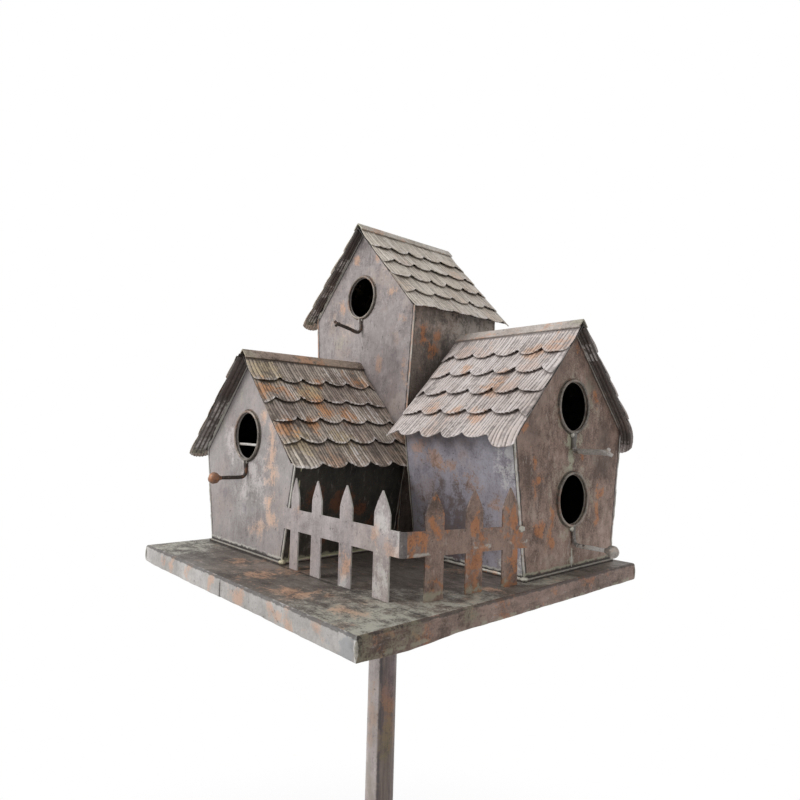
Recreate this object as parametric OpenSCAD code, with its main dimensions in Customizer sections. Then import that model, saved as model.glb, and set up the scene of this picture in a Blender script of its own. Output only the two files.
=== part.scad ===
// Weathered sheet-metal nest box: three gabled bird houses and a picket fence
// on a square tray that one pole carries. Lengths are in millimetres.
// The origin is the middle of the pole's foot, at ground level, with +Z up.
// The low and the tall house face -Y, and the twin house faces +X.

/* [Pole] */
// Height of the tray's top above the ground
tray_height = 1000; // [400:10:1600]
// Outside diameter of the pole
pole_diameter = 24; // [16:1:40]
// Wall of the pole's tube
pole_wall = 1.5; // [1:0.25:4]
// Thickness of the plate that closes the pole's foot
pole_foot_plate = 4; // [2:0.5:12]
// Thickness of the flange between the pole and the tray
flange_plate = 2; // [1:0.25:6]
// Diameter of the flange
flange_diameter = 70; // [54:1:120]
// Length of the flange's spigot inside the pole
spigot_length = 40; // [15:1:120]
// Wall of the spigot's tube
spigot_wall = 1.5; // [1:0.25:3]
// Clearance around the spigot in the pole
spigot_clearance = 0.3; // [0.1:0.05:0.6]

/* [Tray] */
// Thickness of the tray's sheet
tray_sheet = 1.5; // [0.8:0.1:3]
// Height of the rim with the top sheet
rim_height = 14; // [8:0.5:30]
// Tray left of the low and tall houses
left_margin = 11.5; // [4:0.5:40]
// Tray in front of the twin house
right_margin = 17; // [6:0.5:50]
// Tray in front of the low house
front_margin = 55.5; // [20:0.5:90]
// Tray behind the tall house
back_margin = 8.5; // [4:0.5:40]
// Tray beside the twin house's outer wall
twin_margin = 9.5; // [4:0.5:40]

/* [Houses] */
// Depth of every house from gable to gable
house_depth = 115; // [90:1:150]
// Width of every house at its foot
foot_width = 123; // [100:1:150]
// Width of every house where its walls meet the roof
eave_width = 156; // [130:1:180]
// Thickness of the wall sheet
wall_sheet = 1.5; // [0.8:0.1:3]
// Thickness of the floor plates
floor_plate = 2; // [1:0.25:5]
// How far each floor plate stands out around its walls
floor_lip = 1.5; // [0:0.25:2.5]
// Gap between the low house's back wall and the tall house's front wall
house_gap = 6; // [5:0.5:15]
// Gap between the low house's eave and the twin house's back wall
eave_gap = 5; // [2:0.5:20]

/* [Roofs] */
// Pitch of the roofs in degrees
roof_pitch = 46.5; // [35:0.5:55]
// Thickness of a roof slope with its shingles
roof_slope = 3; // [1.5:0.25:6]
// How far a roof reaches past the side walls
eave_overhang = 12; // [6:0.5:25]
// How far a roof reaches past a gable
gable_overhang = 8.5; // [2:0.5:20]
// Width of each leg of a ridge cap
cap_leg = 14; // [8:0.5:24]
// Thickness of the ridge cap's sheet
cap_sheet = 1.2; // [0.8:0.1:3]
// Clear height between the pickets and the low house's eave
low_eave_clearance = 6.5; // [2:0.5:40]
// How much higher the twin house's ridge is than the low house's
twin_step = 26.5; // [16:0.5:60]
// Clear height between the twin house's ridge and the tall house's eave
tall_eave_clearance = 15; // [4:0.5:60]

/* [Entrances and perches] */
// Diameter of the entrance holes
hole_diameter = 39; // [28:0.5:46]
// From the low and tall houses' ridges down to their holes' middles
hole_drop = 75; // [66:0.5:90]
// From the twin house's ridge down to its upper hole's middle
twin_hole_drop = 70.5; // [66:0.5:80]
// Between the middles of the twin house's two holes
twin_hole_spacing = 74; // [68:0.5:82]
// Diameter of the wire of the rings and perches
wire_diameter = 2.6; // [1.6:0.1:4]
// Seat of the wire on a wall or on another wire
wire_seat = 0.1; // [0.05:0.05:0.3]
// From a ring's lowest point down to the perch rod's axis
perch_drop = 13.5; // [9:0.5:16]
// Radius of the perch's elbow, on the wire's axis
perch_elbow = 4; // [2.5:0.25:8]
// How far the perches reach from their walls, to the middle of a ball
perch_reach = 29.5; // [18:0.5:50]
// How far the twin house's lower perch reaches
lower_perch_reach = 35; // [18:0.5:50]
// Diameter of the perch's ball
ball_diameter = 9.5; // [6:0.25:14]
// Clearance around the wire in its ball
ball_clearance = 0.2; // [0.1:0.05:0.4]

/* [Fence] */
// Thickness of the fence's sheet
fence_sheet = 1.2; // [0.8:0.1:3]
// Height of the pickets
picket_height = 69; // [56:0.5:90]
// Width of the side fence's pickets
picket_width = 15.5; // [8:0.5:20]
// Width of the first front picket, beside the low house
first_picket_width = 10.5; // [8:0.5:20]
// Width of the last front picket, beside the corner
last_picket_width = 15.5; // [8:0.5:22]
// How unevenly the front pickets are set out: 1 is even
front_picket_growth = 1.15; // [1:0.05:1.5]
// Height of a picket's pointed tip
picket_tip = 15; // [6:0.5:20]
// Height of the rail's lower edge
rail_lift = 29; // [12:0.5:34]
// Width of the rail
rail_width = 16; // [8:0.5:20]
// How much lower the side rail ends at the twin house
side_rail_drop = 4; // [0:0.5:8]
// How far the rails lap onto the house fronts
rail_lap = 7; // [3:0.5:15]
// Inner radius of the bend at the fence's corner
corner_radius = 2.5; // [2:0.5:15]
// Slant of the side fence in plan, in degrees
side_fence_slant = 5; // [0:0.5:6]
// Number of pickets in the front fence
front_pickets = 4; // [2:1:5]
// Number of pickets in the side fence
side_pickets = 3; // [2:1:4]
// From the low house to the middle of the first front picket
front_picket_from_house = 10; // [9:0.5:24]
// From the corner's bend to the middle of the last front picket
front_picket_from_corner = 17; // [11:0.5:24]
// From the corner's bend to the middle of the first side picket
side_picket_from_corner = 22.5; // [11:0.5:24]
// From the twin house to the middle of the last side picket
side_picket_from_house = 11; // [9:0.5:24]

/* [Hidden] */
$fn = 48;
// Extra length of a cut, so that it runs clear of both faces
cut_margin = 1;
// Straight steps along each side of a picket's tip
tip_steps = 4;
// Fullness of a picket's tip: 1 is a plain triangle
tip_fullness = 1.25;

// Gable section, measured from the middle of a house and the tray's top
roof_half_span = eave_width / 2 + eave_overhang;
roof_build_up = (roof_slope + cap_sheet) / cos(roof_pitch);
eave_drop = (roof_half_span - roof_slope * sin(roof_pitch)) * tan(roof_pitch);
low_ridge = picket_height + low_eave_clearance + eave_drop + roof_build_up;
twin_ridge = low_ridge + twin_step;
tall_ridge = twin_ridge + tall_eave_clearance + eave_drop + roof_build_up;
function gable_peak(ridge) = ridge - roof_build_up;
function eave_corner(ridge) = gable_peak(ridge) - eave_width / 2 * tan(roof_pitch);
function wall_flare(ridge) = (eave_width - foot_width) / 2 / (eave_corner(ridge) - floor_plate);
function half_width(ridge, z) = foot_width / 2 + (z - floor_plate) * wall_flare(ridge);

// Plan: the tray is as large as the houses and its margins need
tray_x = left_margin + foot_width / 2 + roof_half_span + eave_gap + house_depth + right_margin;
tray_y = front_margin + 2 * house_depth + house_gap + back_margin;
house_x = left_margin + foot_width / 2 - tray_x / 2;
low_front_y = front_margin - tray_y / 2;
tall_front_y = low_front_y + house_depth + house_gap;
twin_front_x = house_x + roof_half_span + eave_gap + house_depth;
twin_y = tray_y / 2 - twin_margin - foot_width / 2;

// Heights of the entrance holes' middles
low_hole = low_ridge - hole_drop;
tall_hole = tall_ridge - hole_drop;
twin_upper_hole = twin_ridge - twin_hole_drop;
twin_lower_hole = twin_upper_hole - twin_hole_spacing;

// Fence: the side panel turns on the twin house's front edge at the rail's top
rail_top = rail_lift + rail_width;
fence_start_x = house_x + half_width(low_ridge, rail_top);
fence_end_y = twin_y - half_width(twin_ridge, rail_top);
side_length = (fence_end_y - low_front_y - corner_radius * (1 - sin(side_fence_slant)))
    / cos(side_fence_slant);
corner_x = twin_front_x - side_length * sin(side_fence_slant) - corner_radius * cos(side_fence_slant);
front_length = corner_x - fence_start_x;

// Pole and flange
pole_top = tray_height - tray_sheet - flange_plate;
pole_bore = pole_diameter - 2 * pole_wall;
spigot_diameter = pole_bore - 2 * spigot_clearance;

// Colours of the weathered sheet
lilac_grey = [0.56, 0.53, 0.53];
slate_grey = [0.44, 0.44, 0.48];
rust_brown = [0.42, 0.34, 0.29];
shingle_grey = [0.47, 0.43, 0.38];
wire_grey = [0.34, 0.31, 0.29];
ball_brown = [0.36, 0.22, 0.15];

// Places: each house stands with its front at y = 0 of its own frame and faces -Y there
module at_low_house() {
    translate([house_x, low_front_y, tray_height]) children();
}
module at_tall_house() {
    translate([house_x, tall_front_y, tray_height]) children();
}
module at_twin_house() {
    translate([twin_front_x, twin_y, tray_height]) rotate([0, 0, 90]) children();
}

// Extrudes an outline in x and z from y = start to y = end
module along_y(start, end) {
    translate([0, end, 0]) rotate([90, 0, 0]) linear_extrude(height = end - start) children();
}

// Shared house pieces
module floor_sheet() {
    width = foot_width + 2 * floor_lip;
    translate([-width / 2, -floor_lip, 0]) cube([width, house_depth + 2 * floor_lip, floor_plate]);
}

module gable_outline(ridge) {
    polygon([
        [-foot_width / 2, floor_plate],
        [foot_width / 2, floor_plate],
        [eave_width / 2, eave_corner(ridge)],
        [0, gable_peak(ridge)],
        [-eave_width / 2, eave_corner(ridge)]
    ]);
}

module front_wall(ridge, holes) {
    difference() {
        along_y(0, wall_sheet) gable_outline(ridge);
        for (z = holes)
            translate([0, -cut_margin, z]) rotate([-90, 0, 0])
                cylinder(d = hole_diameter, h = wall_sheet + 2 * cut_margin);
    }
}

module back_wall(ridge) {
    along_y(house_depth - wall_sheet, house_depth) gable_outline(ridge);
}

// The right wall leans out with the gable's edge and ends under the roof slope
module side_wall(ridge) {
    flare = wall_flare(ridge);
    thickness = wall_sheet * sqrt(1 + flare * flare);
    inner_foot = foot_width / 2 - thickness;
    inner_eave = (inner_foot + (gable_peak(ridge) - floor_plate) * flare) / (1 + flare * tan(roof_pitch));
    along_y(wall_sheet, house_depth - wall_sheet) polygon([
        [inner_foot, floor_plate],
        [foot_width / 2, floor_plate],
        [eave_width / 2, eave_corner(ridge)],
        [inner_eave, gable_peak(ridge) - inner_eave * tan(roof_pitch)]
    ]);
}

// The right slope, mitred at the ridge
module roof_sheet(ridge, back) {
    peak = gable_peak(ridge);
    under_eave = roof_half_span - roof_slope * sin(roof_pitch);
    along_y(-gable_overhang, back) polygon([
        [0, peak],
        [under_eave, peak - eave_drop],
        [roof_half_span, peak - eave_drop + roof_slope * cos(roof_pitch)],
        [0, peak + roof_slope / cos(roof_pitch)]
    ]);
}

module ridge_cap(ridge, back) {
    leg_x = cap_leg * cos(roof_pitch);
    leg_z = cap_leg * sin(roof_pitch);
    inner = ridge - cap_sheet / cos(roof_pitch);
    edge_x = cap_sheet * sin(roof_pitch);
    edge_z = cap_sheet * cos(roof_pitch);
    along_y(-gable_overhang, back) polygon([
        [0, ridge],
        [-leg_x - edge_x, inner - leg_z + edge_z],
        [-leg_x, inner - leg_z],
        [0, inner],
        [leg_x, inner - leg_z],
        [leg_x + edge_x, inner - leg_z + edge_z]
    ]);
}

module entrance_ring(z) {
    translate([0, -wire_diameter / 2 - wire_seat, z]) rotate([90, 0, 0])
        rotate_extrude() translate([(hole_diameter + wire_diameter) / 2, 0]) circle(d = wire_diameter);
}

function perch_height(hole) = hole - hole_diameter / 2 - wire_diameter - perch_drop;

// Wire that drops from the ring, bends at an elbow and runs out to the ball
module perch(hole, reach) {
    axis_y = -wire_diameter / 2 - wire_seat;
    rod = perch_height(hole);
    translate([0, axis_y, rod + perch_elbow])
        cylinder(d = wire_diameter, h = perch_drop - perch_elbow - wire_seat);
    translate([0, axis_y - perch_elbow, rod + perch_elbow]) rotate([90, 0, 90])
        rotate_extrude(angle = -90) translate([perch_elbow, 0]) circle(d = wire_diameter);
    translate([0, -reach, rod]) rotate([-90, 0, 0])
        cylinder(d = wire_diameter, h = reach + axis_y - perch_elbow);
}

module perch_ball(hole, reach) {
    socket = wire_diameter + 2 * ball_clearance;
    translate([0, -reach, perch_height(hole)]) difference() {
        sphere(d = ball_diameter);
        translate([0, -ball_clearance, 0]) rotate([-90, 0, 0]) cylinder(d = socket, h = ball_diameter);
    }
}

// Fence pieces, in x and z, with the back face at y = 0 and the sheet in front of it
module picket(x, width) {
    base = picket_height - picket_tip;
    half = width / 2;
    steps = [for (i = [0:tip_steps]) i / tip_steps];
    right = [for (s = steps) [x + half * (1 - pow(s, tip_fullness)), base + s * picket_tip]];
    left = [for (i = [tip_steps - 1:-1:0]) [2 * x - right[i][0], right[i][1]]];
    polygon(concat([[x - half, 0], [x + half, 0]], right, left));
}

module rail(start, end, drop) {
    polygon([
        [start, rail_lift],
        [end, rail_lift - drop],
        [end, rail_top - drop],
        [start, rail_top]
    ]);
}

module fence_panel(start, end, drop, first, last, count, first_width, last_width, growth) {
    along_y(-fence_sheet, 0) {
        rail(start, end, drop);
        for (i = [0:count - 1]) {
            share = pow(i / (count - 1), growth);
            picket(first + (last - first) * share, first_width + (last_width - first_width) * share);
        }
    }
}

// Pole and tray
module pole() {
    color(rust_brown) difference() {
        cylinder(d = pole_diameter, h = pole_top);
        translate([0, 0, pole_foot_plate]) cylinder(d = pole_bore, h = pole_top);
    }
}

module pole_flange() {
    color(rust_brown) {
        translate([0, 0, pole_top]) cylinder(d = flange_diameter, h = flange_plate);
        translate([0, 0, pole_top - spigot_length]) difference() {
            cylinder(d = spigot_diameter, h = spigot_length);
            translate([0, 0, -cut_margin])
                cylinder(d = spigot_diameter - 2 * spigot_wall, h = spigot_length + cut_margin);
        }
    }
}

module tray_top() {
    color(rust_brown) translate([-tray_x / 2, -tray_y / 2, tray_height - tray_sheet])
        cube([tray_x, tray_y, tray_sheet]);
}

// Strip of the rim whose low corner is at x and y
module rim_strip(x, y, size_x, size_y) {
    translate([x, y, tray_height - rim_height]) cube([size_x, size_y, rim_height - tray_sheet]);
}

module tray_rim_front() {
    color(lilac_grey) rim_strip(-tray_x / 2, -tray_y / 2, tray_x, tray_sheet);
}

module tray_rim_back() {
    color(rust_brown) rim_strip(-tray_x / 2, tray_y / 2 - tray_sheet, tray_x, tray_sheet);
}

module tray_rim_left() {
    color(rust_brown) rim_strip(-tray_x / 2, tray_sheet - tray_y / 2, tray_sheet, tray_y - 2 * tray_sheet);
}

module tray_rim_right() {
    color(rust_brown)
        rim_strip(tray_x / 2 - tray_sheet, tray_sheet - tray_y / 2, tray_sheet, tray_y - 2 * tray_sheet);
}

// Low house, whose roof runs back to the tall house's front wall
low_roof_back = house_depth + house_gap;

module low_house_floor() { color(rust_brown) at_low_house() floor_sheet(); }
module low_house_front_wall() { color(lilac_grey) at_low_house() front_wall(low_ridge, [low_hole]); }
module low_house_back_wall() { color(lilac_grey) at_low_house() back_wall(low_ridge); }
module low_house_left_wall() { color(lilac_grey) at_low_house() mirror([1, 0, 0]) side_wall(low_ridge); }
module low_house_right_wall() { color(rust_brown) at_low_house() side_wall(low_ridge); }
module low_house_left_roof() {
    color(shingle_grey) at_low_house() mirror([1, 0, 0]) roof_sheet(low_ridge, low_roof_back);
}
module low_house_right_roof() { color(shingle_grey) at_low_house() roof_sheet(low_ridge, low_roof_back); }
module low_house_ridge_cap() { color(lilac_grey) at_low_house() ridge_cap(low_ridge, low_roof_back); }
module low_house_entrance_ring() { color(wire_grey) at_low_house() entrance_ring(low_hole); }
module low_house_perch() { color(wire_grey) at_low_house() perch(low_hole, perch_reach); }
module low_house_perch_ball() { color(ball_brown) at_low_house() perch_ball(low_hole, perch_reach); }

// Tall house, whose perch has lost its ball
free_roof_back = house_depth + gable_overhang;

module tall_house_floor() { color(rust_brown) at_tall_house() floor_sheet(); }
module tall_house_front_wall() { color(lilac_grey) at_tall_house() front_wall(tall_ridge, [tall_hole]); }
module tall_house_back_wall() { color(lilac_grey) at_tall_house() back_wall(tall_ridge); }
module tall_house_left_wall() { color(lilac_grey) at_tall_house() mirror([1, 0, 0]) side_wall(tall_ridge); }
module tall_house_right_wall() { color(rust_brown) at_tall_house() side_wall(tall_ridge); }
module tall_house_left_roof() {
    color(shingle_grey) at_tall_house() mirror([1, 0, 0]) roof_sheet(tall_ridge, free_roof_back);
}
module tall_house_right_roof() { color(shingle_grey) at_tall_house() roof_sheet(tall_ridge, free_roof_back); }
module tall_house_ridge_cap() { color(lilac_grey) at_tall_house() ridge_cap(tall_ridge, free_roof_back); }
module tall_house_entrance_ring() { color(wire_grey) at_tall_house() entrance_ring(tall_hole); }
module tall_house_perch() { color(wire_grey) at_tall_house() perch(tall_hole, perch_reach); }

// Twin house with two entrances, whose upper perch has lost its ball
module twin_house_floor() { color(rust_brown) at_twin_house() floor_sheet(); }
module twin_house_front_wall() {
    color(rust_brown) at_twin_house() front_wall(twin_ridge, [twin_upper_hole, twin_lower_hole]);
}
module twin_house_back_wall() { color(rust_brown) at_twin_house() back_wall(twin_ridge); }
module twin_house_left_wall() { color(slate_grey) at_twin_house() mirror([1, 0, 0]) side_wall(twin_ridge); }
module twin_house_right_wall() { color(rust_brown) at_twin_house() side_wall(twin_ridge); }
module twin_house_left_roof() {
    color(shingle_grey) at_twin_house() mirror([1, 0, 0]) roof_sheet(twin_ridge, free_roof_back);
}
module twin_house_right_roof() { color(shingle_grey) at_twin_house() roof_sheet(twin_ridge, free_roof_back); }
module twin_house_ridge_cap() { color(lilac_grey) at_twin_house() ridge_cap(twin_ridge, free_roof_back); }
module twin_house_upper_ring() { color(wire_grey) at_twin_house() entrance_ring(twin_upper_hole); }
module twin_house_lower_ring() { color(wire_grey) at_twin_house() entrance_ring(twin_lower_hole); }
module twin_house_upper_perch() { color(wire_grey) at_twin_house() perch(twin_upper_hole, perch_reach); }
module twin_house_lower_perch() {
    color(wire_grey) at_twin_house() perch(twin_lower_hole, lower_perch_reach);
}
module twin_house_perch_ball() {
    color(wire_grey) at_twin_house() perch_ball(twin_lower_hole, lower_perch_reach);
}

// Fence from the low house's front to the twin house's front
module front_fence() {
    color(lilac_grey) translate([fence_start_x, low_front_y, tray_height])
        fence_panel(-rail_lap, front_length, 0, front_picket_from_house,
            front_length - front_picket_from_corner, front_pickets,
            first_picket_width, last_picket_width, front_picket_growth);
}

module fence_corner() {
    color(slate_grey) translate([corner_x, low_front_y + corner_radius, tray_height]) rotate([0, 0, -90])
        rotate_extrude(angle = 90 - side_fence_slant)
            translate([corner_radius, rail_lift]) square([fence_sheet, rail_width]);
}

module side_fence() {
    color(rust_brown) translate([twin_front_x, fence_end_y, tray_height])
        rotate([0, 0, 90 - side_fence_slant]) translate([-side_length, 0, 0])
            fence_panel(0, side_length + rail_lap, side_rail_drop, side_picket_from_corner,
                side_length - side_picket_from_house, side_pickets, picket_width, picket_width, 1);
}

pole();
pole_flange();
tray_top();
tray_rim_front();
tray_rim_right();
tray_rim_back();
tray_rim_left();
low_house_floor();
low_house_front_wall();
low_house_back_wall();
low_house_left_wall();
low_house_right_wall();
low_house_left_roof();
low_house_right_roof();
low_house_ridge_cap();
low_house_entrance_ring();
low_house_perch();
low_house_perch_ball();
tall_house_floor();
tall_house_front_wall();
tall_house_back_wall();
tall_house_left_wall();
tall_house_right_wall();
tall_house_left_roof();
tall_house_right_roof();
tall_house_ridge_cap();
tall_house_entrance_ring();
tall_house_perch();
twin_house_floor();
twin_house_front_wall();
twin_house_back_wall();
twin_house_left_wall();
twin_house_right_wall();
twin_house_left_roof();
twin_house_right_roof();
twin_house_ridge_cap();
twin_house_upper_ring();
twin_house_lower_ring();
twin_house_upper_perch();
twin_house_lower_perch();
twin_house_perch_ball();
front_fence();
fence_corner();
side_fence();
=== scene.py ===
"""Looks of a weathered sheet-metal nest box: three gabled bird houses and a picket fence on a tray.

Lengths are in metres, in the frame of the solids: the pole's foot is at the origin, and +Z is up.
Each house has a frame of its own, in which its front wall lies at y = 0 and faces -Y.
"""
import math
import random
from collections import namedtuple

import bmesh
import bpy
import numpy as np
from mathutils import Matrix, Vector, noise


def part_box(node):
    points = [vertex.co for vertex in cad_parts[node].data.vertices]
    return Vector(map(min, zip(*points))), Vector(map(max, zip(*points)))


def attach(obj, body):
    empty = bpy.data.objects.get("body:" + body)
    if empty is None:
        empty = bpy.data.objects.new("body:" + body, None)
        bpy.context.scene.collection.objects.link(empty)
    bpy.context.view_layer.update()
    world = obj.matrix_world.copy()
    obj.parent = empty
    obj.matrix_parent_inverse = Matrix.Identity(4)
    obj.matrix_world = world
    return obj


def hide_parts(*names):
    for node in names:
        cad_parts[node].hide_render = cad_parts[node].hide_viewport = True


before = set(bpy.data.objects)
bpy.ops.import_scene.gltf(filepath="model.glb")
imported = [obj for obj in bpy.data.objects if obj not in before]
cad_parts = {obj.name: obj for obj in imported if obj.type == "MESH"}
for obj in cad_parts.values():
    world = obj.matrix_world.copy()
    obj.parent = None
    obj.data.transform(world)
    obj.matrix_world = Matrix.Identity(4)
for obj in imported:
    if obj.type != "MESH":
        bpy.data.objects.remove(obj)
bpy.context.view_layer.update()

MM = 0.001

# Sizes that the solids share with the looks
ROOF_PITCH = math.radians(46.5)
PITCH_SIN, PITCH_COS = math.sin(ROOF_PITCH), math.cos(ROOF_PITCH)
FLOOR_LIP = 1.5 * MM
WIRE_RADIUS = 1.3 * MM
HOLE_RADIUS = 19.5 * MM
PERCH_DROP = 13.5 * MM
TRAY_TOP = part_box("tray_top")[1].z
TRAY_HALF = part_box("tray_top")[1].x
RIM_DROP = TRAY_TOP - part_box("tray_rim_front")[0].z
UP = (0, 0, 1)


def mm(*sizes):
    """Millimetres as a vector in metres."""
    return Vector([size * MM for size in sizes])


def over_tray(height):
    """A height over the tray in millimetres, as a height in the frame."""
    return TRAY_TOP + height * MM


def on_tray(x, y, height=0):
    """A point given in millimetres from the tray's middle and over its top."""
    return Vector((x * MM, y * MM, over_tray(height)))


def ease(share):
    """A share held between 0 and 1, with a soft start and end."""
    share = np.clip(share, 0, 1)
    return share * share * (3 - 2 * share)


def rising(least, share):
    """From a least value up to 1, as the share goes from 0 to 1."""
    return least + (1 - least) * share


def waves(places, length, run, second_run):
    """Smooth random waves along a line, between -1 and 1; the two last numbers pick the run."""
    return np.array([noise.noise(Vector((place / length, run, second_run))) for place in places])


def shade(red, green, blue):
    """A colour from a paint card, 0 to 255, as the linear light that shaders take."""
    parts = [value / 255 for value in (red, green, blue)]
    return tuple(((part + 0.055) / 1.055) ** 2.4 for part in parts) + (1.0,)


def put(name, data):
    """A new object in the scene."""
    made = bpy.data.objects.new(name, data)
    bpy.context.scene.collection.objects.link(made)
    return made


# Colours of the patina
LILAC_LIGHT = shade(194, 187, 186)
LILAC_DARK = shade(132, 124, 123)
SLATE_LIGHT = shade(206, 204, 216)
SLATE_DARK = shade(126, 119, 126)
BROWN_LIGHT = shade(160, 134, 122)
BROWN_DARK = shade(96, 78, 70)
UMBER_LIGHT = shade(128, 113, 103)
UMBER_DARK = shade(70, 61, 55)
WARM_GREY = shade(176, 154, 140)
RUST_ORANGE = shade(184, 120, 74)
RUST_PALE = shade(216, 168, 134)
PEACH = shade(232, 200, 178)
OCHRE = shade(206, 186, 148)
RUST_DEEP = shade(124, 80, 54)
SOLDER_GREEN = shade(178, 176, 154)
PALE_SOLDER_AND_HIGHLIGHT = shade(206, 203, 194)
SOLDER_AND_SHEEN_WHITE = shade(226, 224, 220)
SCUFF_AND_HIGHLIGHT_WHITE = shade(226, 220, 218)
DARK_SEAM_AND_SHADOW = shade(46, 41, 38)
ROOF_GRIME_AND_SHADE = shade(62, 53, 47)
SHADED_SIDE_LIGHT = shade(84, 81, 74)
SHADED_SIDE_DARK = shade(42, 41, 37)
INSIDE_SHADE_BLACK = shade(14, 13, 12)


class House:
    """One bird house: its heights, and the way from its own frame into the frame of the solids.

    far_side is the side, -1 left or 1 right, of the slope that shows its underside in front.
    """

    def __init__(self, name, turn, far_side):
        self.name, self.far_side = name, far_side
        self.words = name.replace("_", " ")
        low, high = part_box(f"{name}_front_wall")
        floor_low, floor_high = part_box(f"{name}_floor")
        across, back, way = (1, 0, -1) if turn else (0, 1, 1)
        front = high.x if turn else low.y
        self.half_eave = (high[across] - low[across]) / 2
        self.half_foot = (floor_high[across] - floor_low[across]) / 2 - FLOOR_LIP
        self.depth = floor_high[back] - floor_low[back] - 2 * FLOOR_LIP
        roof_ends = [way * (corner[back] - front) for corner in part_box(f"{name}_right_roof")]
        self.roof_front, self.roof_back = sorted(roof_ends)
        self.foot, self.peak = low.z, high.z
        self.eave = self.peak - self.half_eave * math.tan(ROOF_PITCH)
        self.rise = Vector((self.half_eave - self.half_foot, 0, self.eave - self.foot)).normalized()
        self.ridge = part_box(f"{name}_ridge_cap")[1].z
        origin = Vector((0, 0, 0))
        origin[across], origin[back] = (low[across] + high[across]) / 2, front
        self.matrix = Matrix.Translation(origin) @ Matrix.Rotation(math.radians(turn), 4, "Z")

    def at(self, x, y, z):
        """A point of the house's own frame, in metres."""
        return self.matrix @ Vector((x, y, z))

    def turned(self, x, y, z):
        """A direction of the house's own frame."""
        return self.matrix.to_3x3() @ Vector((x, y, z))

    def sized(self, x, y, z):
        """Reaches along the house's own axes in millimetres, as reaches along the frame's."""
        return [abs(part) * MM for part in self.turned(x, y, z)]

    def spread(self, x, y, z):
        """Arrays of points of the house's own frame."""
        local = np.stack(np.broadcast_arrays(x, y, z), axis=-1)
        return local @ np.array(self.matrix.to_3x3()).T + np.array(self.matrix.translation)

    def half_width(self, z):
        """Half the width of the gable between its foot and its eaves."""
        share = (z - self.foot) / (self.eave - self.foot)
        return self.half_foot + share * (self.half_eave - self.half_foot)


LOW = House("low_house", 0, -1)
TALL = House("tall_house", 0, -1)
TWIN = House("twin_house", 90, 1)
HOUSES = (LOW, TALL, TWIN)


class Slope:
    """One roof slope: down from the ridge, along from the front wall and out from the underside."""

    def __init__(self, house, side):
        self.house, self.side = house, side
        self.far = side == house.far_side

    def spread(self, down, along, out):
        x = self.side * (down * PITCH_COS + out * PITCH_SIN)
        z = self.house.peak - down * PITCH_SIN + out * PITCH_COS
        return self.house.spread(x, along, z)


# Paint of a point: its shingle's tone, its rust, how far down it lies, and how lit it is painted: high on a rib
# and clear of the painted shadow under the strip above
BARE_PAINT = (0.5, 0.0, 0.5, 1.0)

# Points around a wire
WIRE_SIDES = 10
# A run of solder: points across its ridge, its depth in the sheet, its lumps' lengths and shares of
# its size, and its size at the ends with the growth from there per point
BEAD_POINTS = 7
BEAD_SINK = 0.3 * MM
LONG_LUMP, LONG_SHARE = 5 * MM, 0.55
SHORT_LUMP, SHORT_SHARE = 2 * MM, 0.35
END_SIZE, END_GROWTH = 0.25, 0.4


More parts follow.
